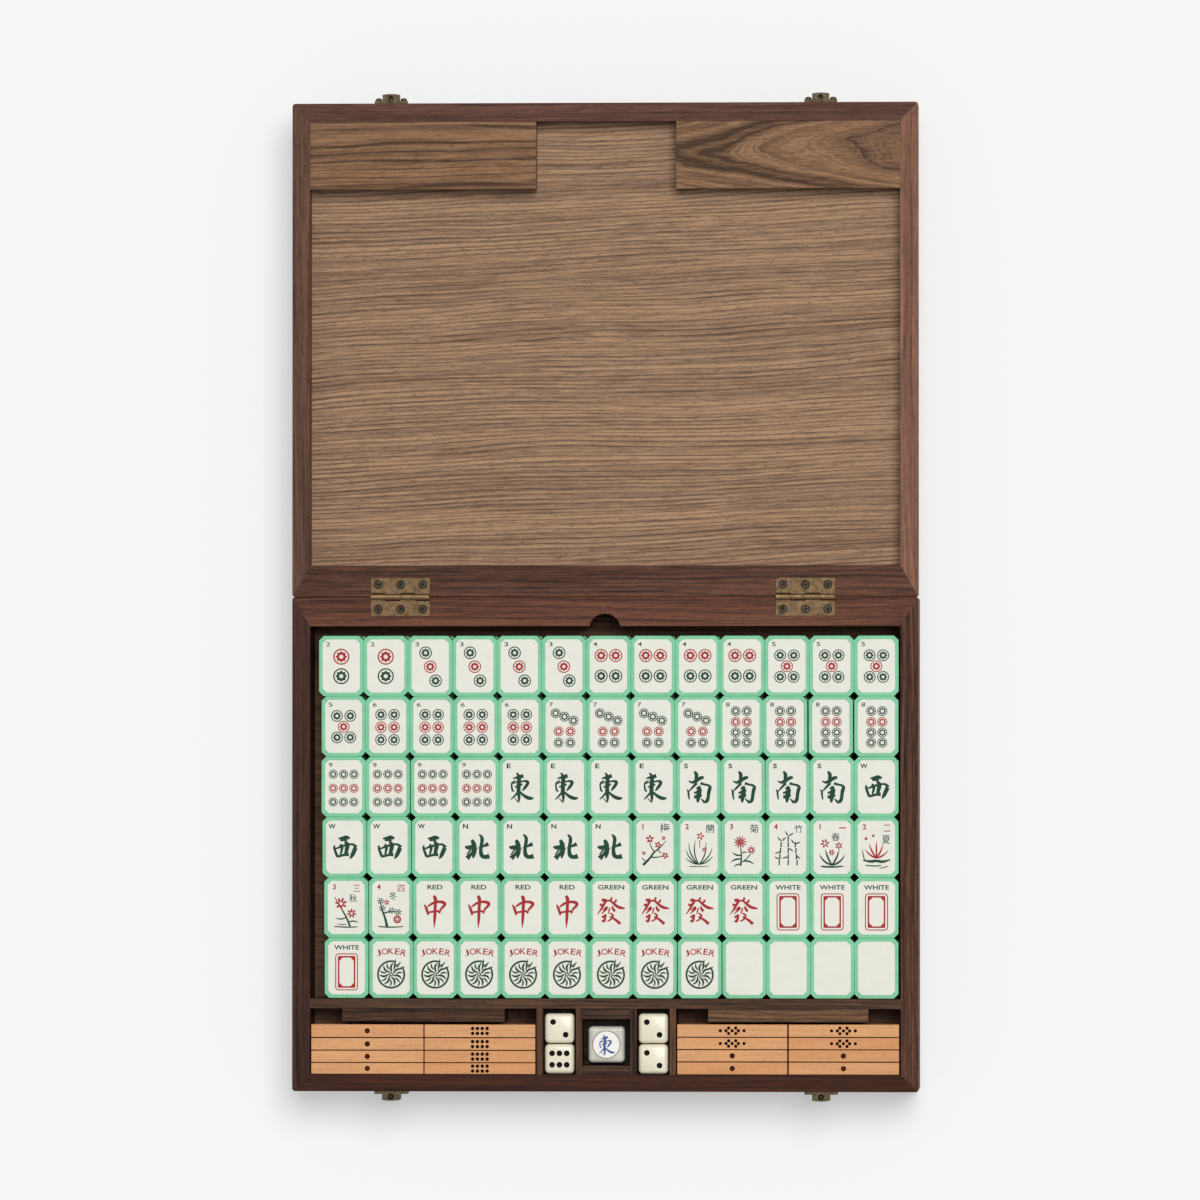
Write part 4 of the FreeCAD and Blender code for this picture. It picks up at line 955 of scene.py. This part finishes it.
def drawn(text):
    """The strokes that a table's text gives, with | between them."""
    shapes = {"cane": cane, "leaf": leaf, "blade": blade, "bloom": bloom, "loop": loop}
    strokes = []
    for words in map(str.split, filter(None, text.split("|"))):
        shape = shapes.get(words[0])
        values = [tuple(map(float, word.split(","))) for word in (words[1:] if shape else words)]
        if shape:
            strokes += shape(*(value if len(value) > 1 else value[0] for value in values))
        else:
            strokes.append(values)
    return strokes


def roundel():
    """A whorl of leaves in a ring that opens where one spray grows out."""
    marks = loop(
        ROUNDEL_MIDDLE, ROUNDEL_RADIUS, ROUNDEL_LINE, ROUNDEL_START, ROUNDEL_SWEEP, ROUNDEL_STEPS
    )
    for i in range(ROUNDEL_ARMS):
        turn = math.tau * i / ROUNDEL_ARMS + ROUNDEL_TURN
        marks += [turned_stroke(points, ROUNDEL_MIDDLE, turn) for points in drawn(ROUNDEL_LEAVES)]
    marks += loop(ROUNDEL_MIDDLE, ROUNDEL_EYE, ROUNDEL_EYE_LINE)
    for lean in SPRAY_LEANS:
        points = [(x, y * lean, half) for x, y, half in SPRAY]
        marks.append(turned_stroke(points, ROUNDEL_MIDDLE, SPRAY_TURN + lean))
    return marks


def bamboo(inks, number):
    """A bamboo tile: upright canes in rows, and a shoot with leaves for the one."""
    if number == 1:
        shoot = drawn(SHOOT)
        for y in SHOOT_LEAVES:
            for side in (-1, 1):
                tip = (side * SHOOT_TIP[0], y + SHOOT_TIP[1])
                shoot += blade((0, y), tip, -SHOOT_BOW * side, SHOOT_HALF)
        brushed(inks["green"], shoot)
        brushed(inks["red"], drawn(SHOOT_ROOT))
    counts = [int(count) for count in CANE_ROWS[number]]
    for i, count in enumerate(counts):
        y = CANE_MIDDLE + (len(counts) - 1 - 2 * i) * CANE_STEP / len(counts)
        half = CANE_LENGTH / 2 / len(counts)
        for k in range(count):
            x = (2 * k - count + 1) * (CANE_SPACE if count < 4 else CANE_CLOSE)
            red = 2 * k + 1 == count and number in RED_CANES
            stick = [(x, y + at * half, thick) for at, thick in BAMBOO_CANE]
            brushed(inks["red" if red else "green"], [stick])
    indexed(inks, number)


def marks_of(kind):
    """Everything cut into one kind of face, by ink."""
    inks = {"green": bmesh.new(), "red": bmesh.new()}
    for made in inks.values():
        fade_layer(made)
    if kind.isdigit():
        dotted(inks, int(kind))
    elif kind.startswith("cane_"):
        bamboo(inks, int(kind[-1]))
    elif kind.startswith("myriad_"):
        number = int(kind[-1])
        height = ONE_HEIGHT if number == 1 else NUMERAL_HEIGHT
        lettered(inks["green"], NUMERALS[number - 1], height, NUMERAL_PLACE, NUMERAL_WIDTH)
        lettered(inks["red"], MYRIAD, MYRIAD_SIZE, MYRIAD_PLACE, MYRIAD_SIZE)
        indexed(inks, number)
    elif kind in PICTURES:
        number, signs, *strokes = PICTURES[kind]
        lettered(inks["red"], number, PICTURE_NUMBER, PICTURE_NUMBER_PLACE)
        for sign, x, y, size, colour in signs:
            height = size * (FLAT_SIGN_FILL if sign == NUMERALS[0] else SIGN_FILL)
            lettered(inks[colour], sign, height, (x, y), size * SIGN_FILL, bold=SIGN_BOLD)
        for colour, text in zip(inks, strokes):
            brushed(inks[colour], drawn(text))
    elif kind == "joker":
        for i, (letter, width) in enumerate(JOKER_WORD.items()):
            lean = math.radians(JOKER_STEP) * (2 - i)
            at = (-JOKER_ARC * math.sin(lean), JOKER_TOP - JOKER_ARC * (1 - math.cos(lean)))
            lettered(inks["red"], letter, JOKER_LETTER, at, width, lean, bold=JOKER_BOLD)
        brushed(inks["green"], roundel())
    if kind in BRUSHED:
        inked = inks[BRUSH_INKS.get(kind, "green")]
        brushed(inked, drawn(BRUSHED[kind]), weight=BRUSH_WEIGHTS.get(kind, 1.0))
    if kind in WIND_LETTERS:
        letter, width = WIND_LETTERS[kind]
        lettered(inks["green"], letter, LETTER_HEIGHT, LETTER_PLACE, width)
    if kind in WORDS:
        word, width = WORDS[kind]
        lettered(inks["green"], word, WORD_HEIGHT, (0, WORD_Y), width, bold=WORD_BOLD)
    if kind == "white":
        for (width, length, corner, line), cut in zip(FRAMES, (0.0, FRAME_CUT)):
            outline_frame(inks["red"], width, length, corner, line, cut)
    return {colour: master(made) for colour, made in inks.items() if made.verts or made.free()}


def lay_tiles(name, body, kinds, places, stands_for):
    """One layer's row, or a whole layer: backs, faces and the marks of each ink."""
    backs, faces = bmesh.new(), bmesh.new()
    inks = {"green": bmesh.new(), "red": bmesh.new()}
    for kind, place in zip(kinds, places):
        stamp(backs, BACK, place)
        stamp(faces, FACE, place)
        on_top = place @ Matrix.Translation((0, 0, TILE_HEIGHT))
        for colour, mesh in MARKS[kind].items():
            stamp(inks[colour], mesh, on_top)
    backs_node, faces_node = stands_for
    piece(f"{name}_backs", backs, body, [TILE_GREEN], [backs_node])
    piece(f"{name}_faces", faces, body, [TILE_IVORY], [faces_node])
    for colour, made in inks.items():
        if made.verts:
            piece(f"{name}_marks_{colour}", made, body, [INKS[colour]])
        else:
            made.free()


def all_tiles():
    for row, kinds in enumerate(UPPER_KINDS):
        number = row + 1
        lay_tiles(
            f"tiles_row_{number}",
            "upper_tiles",
            kinds.split(),
            tile_places(row, ROW_GAPS[row], UPPER_Z, OPEN_GAPS[row], TILE_TURN),
            (f"upper_tile_backs_row_{number}", f"upper_tile_faces_row_{number}"),
        )
    lower = [place for row in range(ROWS) for place in tile_places(row, LOWER_GAP, LOWER_Z, {})]
    nodes = ("lower_tile_backs", "lower_tile_faces")
    lay_tiles("lower_tiles", "lower_tiles", LOWER_KINDS, lower, nodes)


# Sticks and dice: shapes with holes drilled in them


def drilled(shape, holes):
    """A shape with the holes cut out of it. The walls of the holes take the second material."""
    bodies = []
    for name, made in (("shape", shape), ("holes", holes)):
        mesh = master(made, name)
        mesh.materials.append(BEECH)
        mesh.materials.append(STAIN)
        if name == "holes":
            for face in mesh.polygons:
                face.material_index = 1
        bodies.append(linked(name, mesh))
    cutting = bodies[0].modifiers.new("drill", "BOOLEAN")
    cutting.operation = "DIFFERENCE"
    cutting.solver = "EXACT"
    cutting.object = bodies[1]
    bpy.context.view_layer.update()
    seen = bodies[0].evaluated_get(bpy.context.evaluated_depsgraph_get())
    mesh = bpy.data.meshes.new_from_object(seen)
    for made in bodies:
        bpy.data.objects.remove(made)
    return mesh


STICK_HEIGHT, STICK_EASE = 6.18, 0.12
STICK_FLOOR, STICK_LAYERS = 5.0, 5
# where each row starts, from the front, and how wide its sticks are
STICK_ROWS = {
    "left": ((-240.95, 5.45), (-235.0, 5.7), (-228.78, 5.85), (-222.38, 6.35)),
    "right": ((-240.95, 6.0), (-234.4, 5.7), (-228.2, 5.7), (-222.0, 6.2)),
}
# where each column starts and how long its sticks are
STICK_BAYS = {"left": ((-148.6, 56.8), (-91.2, 56.0)), "right": ((36.6, 55.45), (92.85, 55.6))}
HOLE_DEPTH, HOLE_TAPER, HOLE_STEPS = 0.7, 0.5, 12
# each kind of stick: hole radius and places
STICK_HOLES = {
    "one": (1.35, [(0, 0)]),
    "eight": (0.92, [(x * 2.45, y * 1.25) for x in (-1.5, -0.5, 0.5, 1.5) for y in (-1, 1)]),
    "nine": (
        0.85,
        [(x, 0) for x in (-6.0, -3.1, 0, 3.1, 6.0)]
        + [(x, y) for x in (-1.8, 1.8) for y in (-1.38, 1.38)],
    ),
}
# the kind of stick in each column and row, from the front
STICK_KINDS = {
    "left": (["one"] * 4, ["eight"] * 4),
    "right": (["one", "one", "nine", "nine"], ["one", "one", "nine", "nine"]),
}
# how fast the sticks' shade changes from row to row, column to column and layer to layer
SHADE_SWAY = (5.1, 2.3, 3.7)
STICK_HOLE_SHIFT = {"left": (0.0, 0.0), "right": (0.0, -0.2)}


def stick_master(long, wide, kind, shift):
    stick = box_of(long, wide, STICK_HEIGHT, (long / 2, wide / 2, STICK_HEIGHT / 2))
    ease(stick, stick.edges[:], STICK_EASE)
    radius, places = STICK_HOLES[kind]
    holes = bmesh.new()
    for x, y in places:
        at = (long / 2 + x + shift, wide / 2 + y, STICK_HEIGHT)
        bmesh.ops.create_cone(
            holes, cap_ends=True, segments=HOLE_STEPS, radius1=radius * (1 - HOLE_TAPER),
            radius2=radius * (1 + HOLE_TAPER), depth=2 * HOLE_DEPTH, matrix=Matrix.Translation(at)
        )
    mesh = drilled(stick, holes)
    for face in mesh.polygons:
        if kind == "one" and face.material_index == 1 and face.normal.z > LEVEL:
            face.material_index = 2
    return mesh


def all_sticks():
    for side, columns in STICK_BAYS.items():
        made = bmesh.new()
        shade = made.verts.layers.float.new("shade")
        for column, (start, long) in enumerate(columns):
            for row, (front, wide) in enumerate(STICK_ROWS[side]):
                kind = STICK_KINDS[side][column][row]
                mesh = stick_master(long, wide, kind, STICK_HOLE_SHIFT[side][column])
                for layer in range(STICK_LAYERS):
                    at = (start, front, STICK_FLOOR + layer * STICK_HEIGHT)
                    sway = sum(by * at for by, at in zip(SHADE_SWAY, (row, column, layer)))
                    level = 0.5 + 0.5 * math.sin(sway + len(side))
                    for vert in stamp(made, mesh, Matrix.Translation(at)):
                        vert[shade] = level
        materials, body = [BEECH, STAIN, HOLE_FLOOR], f"{side}_sticks"
        piece(f"{side}_scoring_sticks", made, body, materials, [body])


DIE_SIZE, DIE_EASE, PIP_RADIUS, PIP_DEPTH, PIP_STEPS, PIP_RINGS = 15.0, 2.1, 1.5, 0.75, 14, 12
DIE_FLOOR, DIE_YS = 20.3, (-233.35, -217.85)
DICE = {"left": (-23.0, ("six", "two")), "right": (24.4, ("two", "two"))}
PIP_STEP, SIX_STEP = 3.2, (3.7, 2.9)
PIPS = {
    1: [(0, 0)],
    2: [(-1, 1), (1, -1)],
    3: [(-1, 1), (0, 0), (1, -1)],
    4: [(-1, -1), (-1, 1), (1, -1), (1, 1)],
    5: [(-1, -1), (-1, 1), (1, -1), (1, 1), (0, 0)],
    6: [(x, y) for x in (-1, 0, 1) for y in (-1, 1)],
}
# the turn that each pair of opposite faces has, the axis from one to the other, and their numbers
DIE_TURNS = (
    (Matrix.Identity(4), "Y", 1, 6),
    (Matrix.Rotation(math.pi / 2, 4, "X"), "Y", 2, 5),
    (Matrix.Rotation(math.pi / 2, 4, "Y"), "X", 3, 4),
)


def die_master():
    """A die about its middle, its one upwards."""
    die = box_of(DIE_SIZE, DIE_SIZE, DIE_SIZE)
    ease(die, die.edges[:], DIE_EASE, 3)
    holes = bmesh.new()
    ball_radius = (PIP_RADIUS**2 + PIP_DEPTH**2) / (2 * PIP_DEPTH)
    for turn, axis, up, down in DIE_TURNS:
        for number, flip in ((up, Matrix.Identity(4)), (down, Matrix.Rotation(math.pi, 4, axis))):
            step = SIX_STEP if number == 6 else (PIP_STEP, PIP_STEP)
            for x, y in PIPS[number]:
                at = (x * step[0], y * step[1], DIE_SIZE / 2 + ball_radius - PIP_DEPTH)
                bmesh.ops.create_uvsphere(
                    holes, u_segments=PIP_STEPS, v_segments=PIP_RINGS, radius=ball_radius,
                    matrix=turn @ flip @ Matrix.Translation(at)
                )
    return drilled(die, holes)


def all_dice():
    cube = die_master()
    shows = {"two": Matrix.Rotation(-math.pi / 2, 4, "X"), "six": Matrix.Rotation(math.pi, 4, "Y")}
    for side, (x, tops) in DICE.items():
        made = bmesh.new()
        for y, top in zip(DIE_YS, tops):
            stamp(made, cube, Matrix.Translation((x, y, DIE_FLOOR + DIE_SIZE / 2)) @ shows[top])
        body = f"{side}_dice"
        piece(f"{side}_pip_dice", made, body, [DIE_IVORY, PIP_BLACK], [body])


WIND_CENTRE, WIND_HALF, DISC_RING, DISC_LINE = (0.7, -226.05, 25.35), 9.15, 6.92, 0.13
WIND_SIGN_SIZE, DISC_STEPS = 0.68, 32
# the turn that brings each disc's face up, and the wind on it
DISC_TURNS = {
    "east": Matrix.Identity(4),
    "west": Matrix.Rotation(math.pi, 4, "Y"),
    "south": Matrix.Rotation(math.pi / 2, 4, "Y"),
    "north": Matrix.Rotation(-math.pi / 2, 4, "Y"),
}


def wind_die_marks():
    """A thin ring and a wind sign on each of the wind die's four discs."""
    rings, signs = bmesh.new(), bmesh.new()
    for made in (rings, signs):
        fade_layer(made)
    for wind, turn in DISC_TURNS.items():
        place = Matrix.Translation(WIND_CENTRE) @ turn @ Matrix.Translation((0, 0, WIND_HALF))
        for made, strokes, size in (
            (rings, loop((0, 0), DISC_RING, DISC_LINE, steps=DISC_STEPS), 1.0),
            (signs, drawn(BRUSHED[wind]), WIND_SIGN_SIZE),
        ):
            flat = bmesh.new()
            brushed(flat, strokes, size)
            stamp(made, master(flat), place)
    piece("wind_die_rings", rings, "wind_die", [INKS["brown"]])
    piece("wind_die_signs", signs, "wind_die", [INKS["blue"]])


def studio_floor():
    made = bmesh.new()
    bmesh.ops.create_grid(made, x_segments=1, y_segments=1, size=FLOOR_SIZE / 2)
    floor = linked("studio_floor", master(made, "studio_floor"))
    paper = Finish("backdrop_paper", Roughness=0.9, Specular_IOR_Level=0.1)
    tooth = paper.noise(paper.place, TOOTH_SCALE, detail=2)
    white = tint(*FLOOR_TONE)
    paper.paint(paper.shades(tooth, white, (0.3, 0.995), (0.7, 1.0)))
    glow = paper.node("Emission", {"Color": white, "Strength": FLOOR_GLOW_LEVEL})
    share = paper.maths("MULTIPLY", seen_directly(paper.nodes, paper.links), FLOOR_GLOW)
    surface = paper.node("MixShader", {0: share, 1: paper.shader.outputs[0], 2: glow})
    paper.links.new(surface, paper.nodes["Material Output"].inputs["Surface"])
    floor.data.materials.append(paper.material)


overhead_camera()
soft_light()
studio_floor()

for node_name, figure in TIMBERS.items():
    dress([node_name], timber(f"walnut_{node_name}", **figure))
# the hinge brass carries painted shade in the countersinks and a painted highlight on the knuckle
# crown
dress(HINGE_PARTS, aged_brass("hinge_brass", (87, 69, 47), painted_light_levels=HINGE_PAINTED_LIGHT))
dress(LATCH_PARTS + ["latch_keeper_screws"], aged_brass("latch_brass", (64, 56, 40)))
dress(SCREWS, steel("screw_steel", (47, 42, 32), 0.0358, 0.03594))

TILE_GREEN = moulded("tile_green", (110, 190, 145), cloud=0.05)
TILE_IVORY = moulded("tile_ivory", (222, 221, 209), cloud=0.015, rough=0.32, grain=0.000004)
DIE_IVORY = moulded("die_ivory", (229, 223, 199), cloud=0.03, rough=0.22, scatter=0.2)
PIP_BLACK = moulded("pip_black", (9, 7, 6), cloud=0.2, rough=0.26, shine=0.07)
INKS = {
    "green": ink("green_enamel", (27, 65, 48)),
    "red": ink("red_enamel", (163, 44, 49)),
    "blue": ink("blue_enamel", (70, 88, 145)),
    "brown": ink("brown_enamel", (120, 80, 60)),
}
BEECH = beech("stick_beech", (214, 158, 109))
STAIN = moulded("burnt_hole", (30, 10, 4), cloud=0.3, rough=0.7, shine=0.03)
HOLE_FLOOR = moulded("hole_floor", (86, 42, 26), cloud=0.3, rough=0.7, shine=0.03)
WIND_PLASTIC = moulded("wind_die_plastic", (198, 197, 184), cloud=0.05, rough=0.25, scatter=0.3)
dress(["wind_die"], WIND_PLASTIC)
dress(["wind_die_discs"], moulded("disc_white", (236, 234, 228), cloud=0.01, rough=0.3))

LARGE_DOT, SMALL_DOT = unit_dot(*LARGE_STAR), unit_dot(*SMALL_STAR)
BACK, FACE = tile_back(), tile_face()
KINDS = sorted(set(" ".join(UPPER_KINDS).split() + LOWER_KINDS))
MARKS = {kind: marks_of(kind) for kind in KINDS}
all_tiles()
all_sticks()
all_dice()
wind_die_marks()
